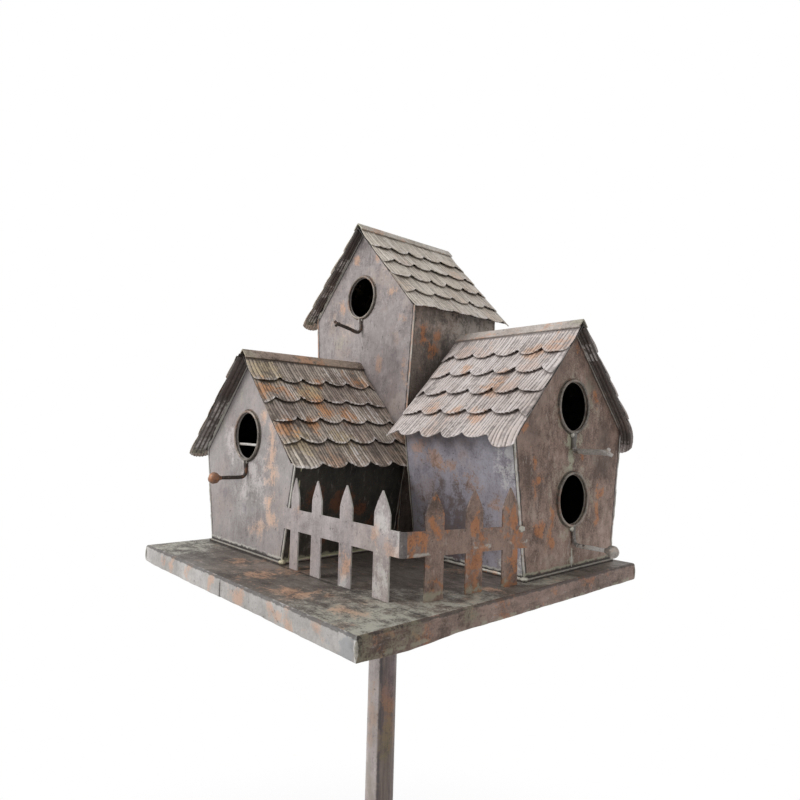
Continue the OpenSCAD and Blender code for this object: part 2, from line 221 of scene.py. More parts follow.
class Basket:
    """Collects closed shapes and turns them into one piece."""

    def __init__(self):
        self.points, self.faces, self.paint, self.looks = [], [], [], []
        self.look = 0

    def add(self, points, faces, paint=None):
        start = len(self.points)
        self.looks.extend([self.look] * len(faces))
        self.points.extend(tuple(map(float, point)) for point in points)
        self.faces.extend(tuple(start + corner for corner in face) for face in faces)
        self.paint.extend(paint if paint is not None else [BARE_PAINT] * len(points))

    def sheet(self, outer, inner, paint=None):
        """A thin sheet between two grids of points, closed around its four edges."""
        rows, columns = outer.shape[:2]
        count = rows * columns
        index = np.arange(count).reshape(rows, columns)
        faces = []
        for row in range(rows - 1):
            for column in range(columns - 1):
                ring = (index[row, column], index[row, column + 1],
                        index[row + 1, column + 1], index[row + 1, column])
                faces.append(ring)
                faces.append(tuple(count + corner for corner in reversed(ring)))
        border = list(index[0, :-1]) + list(index[:-1, -1])
        border += list(index[-1, :0:-1]) + list(index[:0:-1, 0])
        for first, second in zip(border, border[1:] + border[:1]):
            faces.append((second, first, count + first, count + second))
        points = np.concatenate([outer.reshape(-1, 3), inner.reshape(-1, 3)])
        self.add(points, faces, None if paint is None else paint + paint)

    def loft(self, points, sides, closed=False):
        """Joins rings of points into a solid, capped at both ends or closed into a loop."""
        count = len(points) // sides
        faces = []
        for number in range(count if closed else count - 1):
            ring, following = number * sides, (number + 1) % count * sides
            shift = 0 if following else closing_shift(points, ring, sides)
            for step in range(sides):
                after = (step + 1) % sides
                faces.append((ring + step, ring + after,
                              following + (after + shift) % sides, following + (step + shift) % sides))
        if not closed:
            faces.append(tuple(reversed(range(sides))))
            faces.append(tuple(range((count - 1) * sides, count * sides)))
        self.add(points, faces)

    def tube(self, path, radii, closed=False):
        """A round wire along a path, with a radius at each point."""
        path = [Vector(point) for point in path]
        count = len(path)
        side = None
        points = []
        for number, point in enumerate(path):
            before = path[number - 1] if closed or number else point
            after = path[(number + 1) % count] if closed or number < count - 1 else point
            ahead = (after - before).normalized()
            if side is None:
                side = ahead.orthogonal().normalized()
            side = (side - ahead * side.dot(ahead)).normalized()
            other = ahead.cross(side)
            for step in range(WIRE_SIDES):
                angle = 2 * math.pi * step / WIRE_SIDES
                points.append(point + radii[number] * (math.cos(angle) * side + math.sin(angle) * other))
        self.loft(points, WIRE_SIDES, closed)

    def bead(self, path, out, width, height, seed):
        """A lumpy run of solder: a flat-backed ridge along a path, facing out."""
        out = Vector(out).normalized()
        path = [Vector(point) for point in path]
        last = len(path) - 1
        points = []
        for number, point in enumerate(path):
            before, after = path[max(number - 1, 0)], path[min(number + 1, last)]
            across = (after - before).normalized().cross(out).normalized()
            lump = 1 + LONG_SHARE * noise.noise(point / LONG_LUMP + Vector((seed, 0, 0)))
            lump += SHORT_SHARE * noise.noise(point / SHORT_LUMP + Vector((0, seed, 0)))
            size = lump * min(1.0, END_SIZE + min(number, last - number) * END_GROWTH)
            for step in range(BEAD_POINTS):
                angle = math.pi * step / (BEAD_POINTS - 1)
                rise = math.sin(angle) * (height * size + BEAD_SINK) - BEAD_SINK
                points.append(point + across * math.cos(angle) * width / 2 * size + out * rise)
        self.loft(points, BEAD_POINTS)

    def blob(self, centre, radii, seed, ragged=0.25, detail=3):
        """A lump of solder or rust: a ball pressed out of round."""
        centre = Vector(centre)
        work = bmesh.new()
        bmesh.ops.create_icosphere(work, subdivisions=detail, radius=1.0)
        work.verts.ensure_lookup_table()
        points = []
        for vert in work.verts:
            swell = 1 + ragged * noise.noise(vert.co * 1.7 + Vector((seed, seed * 0.7, 0)))
            points.append(centre + Vector(a * b for a, b in zip(vert.co * swell, radii)))
        self.add(points, [[vert.index for vert in face.verts] for face in work.faces])
        work.free()

    def piece(self, name, materials, replaced=(), crease=40):
        """The collected shapes as one piece that rides on the body."""
        mesh = bpy.data.meshes.new(name)
        mesh.from_pydata(self.points, [], self.faces)
        for material in materials:
            mesh.materials.append(material)
        mesh.polygons.foreach_set("material_index", self.looks)
        paint = mesh.color_attributes.new("shingle", "FLOAT_COLOR", "POINT")
        paint.data.foreach_set("color", np.array(self.paint, np.float32).ravel())
        work = bmesh.new()
        work.from_mesh(mesh)
        bmesh.ops.recalc_face_normals(work, faces=work.faces)
        work.to_mesh(mesh)
        work.free()
        mesh.polygons.foreach_set("use_smooth", [True] * len(mesh.polygons))
        mesh.set_sharp_from_angle(angle=math.radians(crease))
        made = put(name, mesh)
        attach(made, "root")
        if replaced:
            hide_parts(*replaced)


def closing_shift(points, ring, sides):
    """How far the last ring of a closed wire is turned against its first."""
    gaps = [(points[ring] - points[step]).length for step in range(sides)]
    return gaps.index(min(gaps))


def stretch(start, end, step=1.6 * MM):
    """Points from start to end, a step apart."""
    start, end = Vector(start), Vector(end)
    count = max(2, int((end - start).length / step) + 1)
    return [start.lerp(end, number / (count - 1)) for number in range(count)]


def smooth_path(corners, per_leg):
    """A rounded path through the given corners."""
    corners = [Vector(corner) for corner in corners]
    padded = [2 * corners[0] - corners[1]] + corners + [2 * corners[-1] - corners[-2]]
    path = []
    for a, b, c, d in zip(padded, padded[1:], padded[2:], padded[3:]):
        for number in range(per_leg):
            t = number / per_leg
            path.append(0.5 * (2 * b + (c - a) * t + (2 * a - 5 * b + 4 * c - d) * t ** 2
                               + (3 * b - a - 3 * c + d) * t ** 3))
    path.append(corners[-1])
    return path


# A Mix node's sockets for colours: its two inputs and its output
MIX_FIRST, MIX_SECOND, MIX_RESULT = 6, 7, 2


class Bench:
    """Sets shader nodes out in one tree and wires them."""

    def __init__(self, tree):
        self.tree = tree

    def node(self, kind, **settings):
        made = self.tree.nodes.new(kind)
        for key, value in settings.items():
            setattr(made, key, value)
        return made

    def feed(self, socket, value):
        if isinstance(value, bpy.types.NodeSocket):
            self.tree.links.new(value, socket)
        else:
            socket.default_value = value

    def math(self, operation, first, second=0.0, clamp=False):
        made = self.node("ShaderNodeMath", operation=operation, use_clamp=clamp)
        self.feed(made.inputs[0], first)
        self.feed(made.inputs[1], second)
        return made.outputs[0]

    def vector(self, operation, first, second):
        made = self.node("ShaderNodeVectorMath", operation=operation)
        self.feed(made.inputs[0], first)
        self.feed(made.inputs[1], second)
        return made.outputs["Value" if operation in ("DOT_PRODUCT", "LENGTH") else "Vector"]

    def mix(self, factor, first, second, blend="MIX"):
        made = self.node("ShaderNodeMix", data_type="RGBA", blend_type=blend)
        self.feed(made.inputs[0], factor)
        self.feed(made.inputs[MIX_FIRST], first)
        self.feed(made.inputs[MIX_SECOND], second)
        return made.outputs[MIX_RESULT]

    def noise(self, place, scale, detail, roughness, output="Fac"):
        made = self.node("ShaderNodeTexNoise")
        self.feed(made.inputs["Vector"], place)
        self.feed(made.inputs["Scale"], scale)
        made.inputs["Detail"].default_value = detail
        made.inputs["Roughness"].default_value = roughness
        return made.outputs[output]

    def step(self, value, low, high, start=0.0, end=1.0):
        made = self.node("ShaderNodeMapRange", interpolation_type="SMOOTHSTEP")
        for socket, given in zip(made.inputs[:5], (value, low, high, start, end)):
            self.feed(socket, given)
        return made.outputs[0]

    def sum(self, *weighted):
        """Adds up values with their weights, each value counted from its middle of one half."""
        total = 0.5
        for value, weight in weighted:
            centred = self.math("SUBTRACT", value, 0.5)
            total = self.math("ADD", self.math("MULTIPLY", centred, weight), total)
        return total

    def use(self, group, **inputs):
        made = self.node("ShaderNodeGroup", node_tree=group)
        for label, value in inputs.items():
            self.feed(made.inputs[label.replace("_", " ")], value)
        return made.outputs


FLOAT, COLOUR, VECTOR = "NodeSocketFloat", "NodeSocketColor", "NodeSocketVector"

# Noise by its size on the sheet: scale, detail and roughness
DENTS = (13, 2, 0.4)
WARM_PATCHES = (17, 4, 0.6)
CLOUDS = (18, 6, 0.68)
DRIFT = (48, 3, 0.5)
BREAKS = (62, 3, 0.6)
MOTTLE = (95, 6, 0.75)
WORN = (150, 4, 0.7)
SHINGLE_MOTTLE = (150, 5, 0.72)
UNEVEN = (170, 4, 0.65)
RUST_MOTTLE = (190, 4, 0.7)
PITS = (330, 2, 0.5)
SPECKLE = (700, 3, 0.75)
# Noise on places that the brush's grain has already scaled
STROKES = (1.0, 5, 0.75)
SCUFFS = (2.1, 6, 0.72)


def new_group(name, inputs, outputs):
    """An empty node group with its named sockets, ready to be wired."""
    group = bpy.data.node_groups.new(name, "ShaderNodeTree")
    for direction, sockets in (("INPUT", inputs), ("OUTPUT", outputs)):
        for label, kind in sockets.items():
            group.interface.new_socket(name=label, in_out=direction, socket_type=kind)
    bench = Bench(group)
    return group, bench, bench.node("NodeGroupInput").outputs, bench.node("NodeGroupOutput").inputs


def make_patina():
    """Cloudy, brushed sheet between a light and a dark tone, with scuffs, pits and warm patches."""
    group, bench, given, out = new_group(
        "sheet patina",
        {"Place": VECTOR, "Grain": VECTOR, "Light": COLOUR, "Dark": COLOUR, "Warm": COLOUR,
         "Contrast": FLOAT, "Warmth": FLOAT, "Pits": FLOAT, "Scuffs": FLOAT},
        {"Colour": COLOUR, "Tone": FLOAT, "Height": FLOAT, "Fleck": FLOAT, "Drift": COLOUR})
    place, light, dark = given["Place"], given["Light"], given["Dark"]
    clouds, mottle = bench.noise(place, *CLOUDS), bench.noise(place, *MOTTLE)
    strokes = bench.vector("MULTIPLY", place, given["Grain"])
    brushed, speckle = bench.noise(strokes, *STROKES), bench.noise(place, *SPECKLE)
    spread = bench.sum((clouds, 1.8), (mottle, 1.1), (brushed, 1.0), (speckle, 1.0))
    centred = bench.math("SUBTRACT", spread, 0.5)
    tone = bench.math("ADD", bench.math("MULTIPLY", centred, given["Contrast"]), 0.5, clamp=True)
    colour = bench.mix(tone, dark, light)
    elsewhere = bench.vector("ADD", place, (3.1, 1.7, 0.4))
    patches = bench.sum((bench.noise(elsewhere, *WARM_PATCHES), 1.0), (mottle, 0.6), (brushed, 0.4))
    warm = bench.math("MULTIPLY", bench.step(patches, 0.5, 0.64), given["Warmth"])
    colour = bench.mix(warm, colour, given["Warm"])
    scuff = bench.noise(bench.vector("ADD", strokes, (7.1, 3.3, 1.9)), *SCUFFS)
    for tint, end, low, high in ((light, SCUFF_AND_HIGHLIGHT_WHITE, 0.57, 0.7), (dark, DARK_SEAM_AND_SHADOW, 0.42, 0.32)):
        mask = bench.math("MULTIPLY", bench.step(scuff, low, high), given["Scuffs"])
        colour = bench.mix(mask, colour, bench.mix(0.5, tint, end))
    pits = bench.math("MULTIPLY", bench.step(bench.noise(place, *PITS), 0.34, 0.26), given["Pits"])
    dents = bench.noise(bench.vector("ADD", place, (1.3, 0.2, 4.0)), *DENTS)
    for label, value in (
            ("Colour", bench.mix(pits, colour, DARK_SEAM_AND_SHADOW)),
            ("Tone", tone),
            ("Height", bench.sum((dents, 9.0), (mottle, 0.8), (brushed, 0.3), (speckle, 0.3))),
            ("Fleck", bench.sum((mottle, 1.0), (brushed, 0.55), (speckle, 0.5))),
            ("Drift", bench.noise(place, *DRIFT, "Color"))):
        bench.feed(out[label], value)
    return group


def overlay(name, inputs, draw):
    """A group that lays a colour over a base colour; draw gives the mask and the colour."""
    group, bench, given, out = new_group(name, {"Place": VECTOR, "Base": COLOUR, **inputs}, {"Colour": COLOUR})
    mask, colour = draw(bench, given)
    bench.feed(out["Colour"], bench.mix(mask, given["Base"], colour))
    return group


def draw_rust(bench, given):
    """Rust that breaks out in soft, mottled blooms over the whole surface."""
    place = given["Place"]
    patch = bench.noise(bench.vector("ADD", place, (0.7, 5.3, 2.2)), given["Size"], 3, 0.55)
    mottle = bench.noise(place, *RUST_MOTTLE)
    level = bench.sum((patch, 1.0), (mottle, 0.75))
    edge = bench.math("SUBTRACT", 1.0, given["Amount"])
    mask = bench.step(level, bench.math("SUBTRACT", edge, 0.03), bench.math("ADD", edge, 0.07))
    grainy = bench.mix(bench.step(mottle, 0.35, 0.65), RUST_DEEP, given["Rust"])
    return bench.math("MULTIPLY", mask, given["Strength"]), grainy


STAIN_DRIFT = (0.022, 0.022, 0.022)


def draw_stain(bench, given):
    """One stain at a chosen place, which breaks up into flecks towards its edge."""
    pushed = bench.vector("SUBTRACT", given["Drift"], (0.5, 0.5, 0.5))
    place = bench.vector("ADD", given["Place"], bench.vector("MULTIPLY", pushed, STAIN_DRIFT))
    offset = bench.vector("DIVIDE", bench.vector("SUBTRACT", place, given["Centre"]), given["Reach"])
    distance = bench.vector("LENGTH", offset, offset)
    fall = bench.math("SUBTRACT", 0.24, bench.math("MULTIPLY", distance, 0.45))
    level = bench.math("ADD", given["Fleck"], fall)
    start = bench.math("SUBTRACT", 0.46, given["Softness"])
    mask = bench.step(level, start, bench.math("ADD", 0.58, given["Softness"]))
    shaded = bench.mix(0.6, given["Stain"], given["Base"], "MULTIPLY")
    tint = bench.mix(bench.step(given["Fleck"], 0.36, 0.56), shaded, given["Stain"])
    return bench.math("MULTIPLY", mask, given["Strength"]), tint


def draw_seam(bench, given):
    """A broken line along a straight seam, which fades to both sides."""
    place = given["Place"]
    away = bench.vector("DOT_PRODUCT", bench.vector("SUBTRACT", place, given["Point"]), given["Across"])
    uneven = bench.step(bench.noise(place, *UNEVEN), 0.25, 0.75, 0.3, 1.7)
    width = bench.math("MULTIPLY", given["Width"], uneven)
    share = bench.math("DIVIDE", bench.math("ABSOLUTE", away), width)
    breaks = bench.noise(bench.vector("ADD", place, (0.4, 2.6, 0.9)), *BREAKS)
    whole = bench.step(breaks, given["Broken"], bench.math("ADD", given["Broken"], 0.06))
    whole = bench.math("MULTIPLY", whole, given["Strength"])
    return bench.math("MULTIPLY", bench.step(share, 1.0, 0.3), whole), given["Stain"]


def draw_inside(bench, given):
    """Painted shade: near-black on the side of a sheet that faces the nest, where no light reaches."""
    away = bench.vector("SUBTRACT", given["Place"], given["Point"])
    depth = bench.vector("DOT_PRODUCT", away, given["Inward"])
    return bench.step(depth, 0.7 * MM, 1.2 * MM), INSIDE_SHADE_BLACK


def draw_cut_edge(bench, given):
    """A given colour on the narrow faces of a sheet, which look away from its two broad sides: pale bare metal
    with a painted highlight on the walls and the front fence, a dark edge on the side fence.
    """
    turned = bench.math("ABSOLUTE", bench.vector("DOT_PRODUCT", given["Facing"], given["Broad Side"]))
    # Where the edge colour shows: wear and painted highlight alike.
    worn = bench.step(bench.noise(given["Place"], *WORN), 0.3, 0.6)
    worn = bench.math("MULTIPLY", worn, given["Strength"])
    return bench.math("MULTIPLY", bench.step(turned, 0.8, 0.4), worn), given["Edge"]


PATINA = make_patina()
RUST = overlay("rust bloom", {"Rust": COLOUR, "Amount": FLOAT, "Size": FLOAT, "Strength": FLOAT}, draw_rust)
STAIN = overlay("placed stain", {"Stain": COLOUR, "Centre": VECTOR, "Reach": VECTOR, "Fleck": FLOAT,
                                 "Drift": COLOUR, "Softness": FLOAT, "Strength": FLOAT}, draw_stain)
SEAM = overlay("seam run", {"Stain": COLOUR, "Point": VECTOR, "Across": VECTOR, "Width": FLOAT,
                            "Strength": FLOAT, "Broken": FLOAT}, draw_seam)
INSIDE = overlay("nest side", {"Point": VECTOR, "Inward": VECTOR}, draw_inside)
CUT_EDGE = overlay("cut edge", {"Edge": COLOUR, "Facing": VECTOR, "Broad Side": VECTOR, "Strength": FLOAT},
                   draw_cut_edge)

# How fine the brush strokes are along each axis
WALL_GRAIN = (130, 130, 44)
FLAT_GRAIN = (50, 130, 60)
POLE_GRAIN = (420, 420, 14)
RAIL_GRAIN = (50, 50, 220)
ROUGH_GRAIN = (240, 240, 240)
# Depth of the relief, and how far a stain reaches into a wall, in mm
RELIEF_DEPTH = 0.5 * MM
STAIN_DEPTH = 4


class Finish:
    """A weathered-sheet material: the patina first, then what lies on it, in order."""

    def __init__(self, name, light, dark, warm=WARM_GREY, grain=WALL_GRAIN, contrast=1.0, warmth=0.5,
                 pits=0.5, scuffs=0.45):
        self.material = bpy.data.materials.new(name)
        self.material.use_nodes = True
        tree = self.material.node_tree
        self.bench = Bench(tree)
        self.shader = tree.nodes["Principled BSDF"]
        self.place = self.bench.node("ShaderNodeTexCoord").outputs["Object"]
        patina = self.bench.use(PATINA, Place=self.place, Grain=grain, Light=light, Dark=dark, Warm=warm,
                                Contrast=contrast, Warmth=warmth, Pits=pits, Scuffs=scuffs)
        self.colour, self.tone, self.height = patina["Colour"], patina["Tone"], patina["Height"]
        self.fleck, self.drift = patina["Fleck"], patina["Drift"]

    def lay(self, group, **inputs):
        """Lays one more effect over the colour so far."""
        self.colour = self.bench.use(group, Place=self.place, Base=self.colour, **inputs)["Colour"]
        return self

    def rust(self, amount, size=30.0, colour=RUST_ORANGE, strength=0.7):
        return self.lay(RUST, Rust=colour, Amount=amount, Size=size, Strength=strength)

    def stain(self, centre, reach, colour, strength=0.8, softness=0.0):
        return self.lay(STAIN, Stain=colour, Centre=centre, Reach=reach, Fleck=self.fleck, Drift=self.drift,
                        Softness=softness, Strength=strength)

    def seam(self, point, across, width, colour, strength=0.8, broken=0.0):
        """A line on the plane through a point; its width is in millimetres."""
        return self.lay(SEAM, Stain=colour, Point=point, Across=across, Width=width * MM, Strength=strength,
                        Broken=broken)

    def level_seam(self, height, width, colour, strength, broken=0.0):
        """A line all around at a height over the tray, in millimetres like its width."""
        return self.seam(on_tray(0, 0, height), UP, width, colour, strength, broken)

    def cut_edge(self, broad_side, colour, strength=0.7):
        facing = self.bench.node("ShaderNodeNewGeometry").outputs["True Normal"]
        return self.lay(CUT_EDGE, Edge=colour, Facing=facing, Broad_Side=broad_side, Strength=strength)

    def inside(self, point, inward):
        return self.lay(INSIDE, Point=point, Inward=inward)

    def done(self, bump=0.35, metallic=0.15, smooth=0.45, rough=0.68):
        """The finished material: roughness goes from rough on dark to smooth on light patina."""
        bench, shader = self.bench, self.shader
        bench.feed(shader.inputs["Base Color"], self.colour)
        shader.inputs["Metallic"].default_value = metallic
        bench.feed(shader.inputs["Roughness"], bench.step(self.tone, 0.0, 1.0, rough, smooth))
        relief = bench.node("ShaderNodeBump")
        relief.inputs["Strength"].default_value = bump
        relief.inputs["Distance"].default_value = RELIEF_DEPTH
        bench.feed(relief.inputs["Height"], self.height)
        bench.feed(shader.inputs["Normal"], relief.outputs["Normal"])
        return self.material


def shingle_finish(name, ridge, groove, rust, rusty_share, grime_and_shade, spots=()):
    """Roof sheet: pale ribs with painted highlights, grime and painted shade in the grooves and under each lap,
    a tone for each shingle, and rust on some lower edges.
    """
    finish = Finish(name, ridge, groove, contrast=1.1, warmth=0.3, grain=ROUGH_GRAIN, pits=0.6, scuffs=0.35)
    bench = finish.bench
    own = bench.node("ShaderNodeVertexColor", layer_name="shingle")
    split = bench.node("ShaderNodeSeparateColor")
    bench.feed(split.inputs[0], own.outputs["Color"])
    tone, rusty, down = split.outputs[:3]
    # The alpha is how high on a rib, times the painted shadow under the strip above: 0 in that shadow.
    rib = own.outputs["Alpha"]
    mottle = bench.noise(finish.place, *SHINGLE_MOTTLE)

    def cover(mask, colour):
        finish.colour = bench.mix(mask, finish.colour, colour)

    cover(bench.step(tone, 0.0, 1.0, 0.0, 0.6), groove)
    low_edge = bench.step(bench.sum((down, 0.5), (mottle, 2.0)), 0.42, 0.66)
    cover(bench.math("MULTIPLY", low_edge, bench.math("MULTIPLY", rusty, rusty_share)), rust)
    for centre, reach, colour in spots:
        finish.stain(centre, (reach, reach, reach), colour, 0.7, 0.06)
    # Grime and painted shade: dark in the grooves between ribs and in the painted shadow under each lap.
    cover(bench.step(bench.sum((rib, 1.0), (mottle, 1.9)), 0.75, 0.14, 0.0, grime_and_shade), ROOF_GRIME_AND_SHADE)
    # Wear and painted glints: white in spots on the scallops' lower edges.
    worn = bench.step(mottle, 0.44, 0.58, 0.0, 0.8)
    cover(bench.math("MULTIPLY", bench.step(down, 0.88, 1.0), worn), SCUFF_AND_HIGHLIGHT_WHITE)
    # Painted highlights, partly wear: white on the tops of some pale ribs.
    painted_highlight = bench.math("MULTIPLY", bench.step(rib, 0.6, 0.95), bench.step(tone, 0.5, 0.2))
    cover(bench.math("MULTIPLY", painted_highlight, bench.step(mottle, 0.4, 0.58, 0.0, 0.85)), SCUFF_AND_HIGHLIGHT_WHITE)
    return finish.done(bump=0.4, metallic=0.1, smooth=0.5, rough=0.72)


def front_stains(finish, house, places, colour, strength, softness=0.0):
    """Stains on a front wall, in the house's frame: x, height over the tray and both reaches, in mm."""
    for x, height, wide, tall in places:
        centre = house.at(x * MM, 0, over_tray(height))
        finish.stain(centre, house.sized(wide, STAIN_DEPTH, tall), colour, strength, softness)


def wall_planes(house):
    """A point on each wall's outside and the direction into the nest."""
    rise, foot = house.rise, house.foot
    return {
        "front": (house.at(0, 0, foot), house.turned(0, 1, 0)),
        "back": (house.at(0, house.depth, foot), house.turned(0, -1, 0)),
        "right": (house.at(house.half_foot, 0, foot), house.turned(-rise.z, 0, rise.x)),
        "left": (house.at(-house.half_foot, 0, foot), house.turned(rise.z, 0, rise.x)),
    }


def edge_seams(finish, house, colour, strength=0.85, broken=0.36):
    """Broken pale solder with a painted highlight along a gable's two upright edges, and a dark line beside it:
    the gap and a painted shadow.
    """
    for side in (-1, 1):
        edge = house.at(side * house.half_foot, 0, house.foot)
        across = house.turned(side * house.rise.z, 0, -house.rise.x)
        # Gap and painted shadow: a dark line just in from the corner.
        finish.seam(edge - across * 2.5 * MM, across, 1.0, DARK_SEAM_AND_SHADOW, 0.9, 0.3)
        # Solder and painted highlight: a broken pale line at the corner.
        finish.seam(edge - across * 0.6 * MM, across, 1.1, colour, strength, broken)


def rake_seams(finish, house):
    """The pale bead along both slanting edges of a gable, and a dark line below it: the joint and a painted
    shadow under the roof's edge.
    """
    peak = house.at(0, 0, house.peak)
    for side in (-1, 1):
        across = house.turned(side * PITCH_SIN, 0, PITCH_COS)
        # Joint and painted shadow: a dark line below the roof's edge.
        finish.seam(peak - across * 3.4 * MM, across, 0.9, DARK_SEAM_AND_SHADOW, 0.85, 0.25)
        finish.seam(peak - across * 1.4 * MM, across, 1.2, PALE_SOLDER_AND_HIGHLIGHT, 0.8, 0.3)


def foot_seam(finish, colour):
    """The dark joint where a wall stands on its floor plate, with a deposit above it."""
    finish.level_seam(4.6, 1.6, colour, 0.85, 0.38)
    return finish.level_seam(2.4, 2.5, DARK_SEAM_AND_SHADOW, 0.95, 0.1)


def lilac_wall(name, rust_size):
    """A lilac wall away from the photograph's side."""
    return Finish(name, LILAC_LIGHT, LILAC_DARK, contrast=0.9).rust(0.4, rust_size, RUST_PALE, 0.6)


def brown_wall(name):
    """A brown wall away from the photograph's side."""
    return Finish(name, BROWN_LIGHT, BROWN_DARK).rust(0.42, 22)


def low_house_finishes():
    """The low house's walls: a lilac front with peach and rust, and a side behind the fence painted dark for
    the shade between the houses.
    """
    front = Finish("low house front", LILAC_LIGHT, LILAC_DARK, contrast=0.8, warmth=0.25, scuffs=0.35)
    for places, colour, strength, softness in (
            (((8, 58, 40, 40), (-30, 92, 18, 26)), shade(214, 207, 206), 0.75, 0.12),
            (((40, 74, 15, 44), (42, 36, 14, 24), (24, 24, 22, 14), (26, 120, 9, 16)), PEACH, 0.75, 0.12),
            (((41, 88, 9, 20), (43, 58, 9, 24), (46, 32, 9, 15), (22, 22, 14, 9), (26, 118, 6, 10)),
             RUST_PALE, 0.28, 0.12),
            (((-12, 128, 14, 16), (-48, 106, 10, 18)), SOLDER_GREEN, 0.35, 0.0),
            (((-20, 62, 22, 9), (-44, 46, 12, 14), (4, 40, 20, 7)), SLATE_DARK, 0.5, 0.0)):
        front_stains(front, LOW, places, colour, strength, softness)
    rake_seams(front, LOW)
    edge_seams(front, LOW, PALE_SOLDER_AND_HIGHLIGHT)
    foot_seam(front, PALE_SOLDER_AND_HIGHLIGHT)
    # Painted shade: the side between the houses is painted in dark tones.
    right = Finish("low house right side", SHADED_SIDE_LIGHT, SHADED_SIDE_DARK, UMBER_LIGHT, contrast=1.2, warmth=0.3)
    for back, height, reach in ((24, 52, 16), (50, 46, 18), (70, 40, 14), (36, 24, 16), (86, 20, 14)):
        centre = LOW.at(LOW.half_width(over_tray(height)), back * MM, over_tray(height))
        right.stain(centre, LOW.sized(20, reach, reach), RUST_DEEP, 0.7, 0.05)
    right.level_seam(3, 2.6, SOLDER_GREEN, 0.9, 0.3)
    left = foot_seam(lilac_wall("low house left side", 22), SOLDER_GREEN)
    return {"front": front, "right": right, "left": left, "back": lilac_wall("low house back", 22)}


def tall_house_finishes():
    """The tall house's walls: a grey front with rust blooms, and a brown side with painted light under its
    eave.
    """
    front = Finish("tall house front", shade(186, 178, 176), shade(110, 101, 101), contrast=0.95, warmth=0.35)
    for places, colour, strength, softness in (
            (((20, 274, 7, 10), (47, 240, 14, 8), (62, 214, 10, 9), (69, 161, 8, 24), (-32, 232, 10, 13),
              (28, 171, 11, 12), (-8, 276, 10, 8)), RUST_PALE, 0.55, 0.07),
            (((40, 262, 16, 14), (-22, 214, 18, 16), (52, 196, 16, 22), (-52, 226, 12, 14)), PEACH, 0.35, 0.12),
            (((0, 240, 31, 31), (-30, 196, 20, 10)), SOLDER_GREEN, 0.3, 0.0),
            (((46, 180, 40, 60), (10, 140, 70, 34)), shade(112, 101, 102), 0.5, 0.1)):
        front_stains(front, TALL, places, colour, strength, softness)
    rake_seams(front, TALL)
    edge_seams(front, TALL, RUST_PALE, strength=0.6)
    right = Finish("tall house right side", shade(148, 135, 126), shade(84, 75, 69), contrast=1.25)
    for back, height, reach in ((14, 195, 11), (31, 196, 8), (24, 182, 9)):
        centre = TALL.at(TALL.half_eave, back * MM, over_tray(height))
        right.stain(centre, TALL.sized(20, reach, 1.5 * reach), RUST_ORANGE, 0.7)
    right.rust(0.35, 30, RUST_DEEP, 0.6)
    # Painted light: a pale patch high on the side, under the eave.
    painted_light_under_eave = TALL.at(TALL.half_eave, 84 * MM, TALL.eave - 10 * MM)
    right.stain(painted_light_under_eave, TALL.sized(30, 70, 34), shade(184, 176, 168), 0.55, 0.1)
    back_wall = Finish("tall house back", BROWN_LIGHT, BROWN_DARK).rust(0.42, 20, RUST_ORANGE, 0.6)
    edge_seams(back_wall, TALL, PALE_SOLDER_AND_HIGHLIGHT, strength=0.5)
    return {"front": front, "right": right, "left": lilac_wall("tall house left side", 20), "back": back_wall}


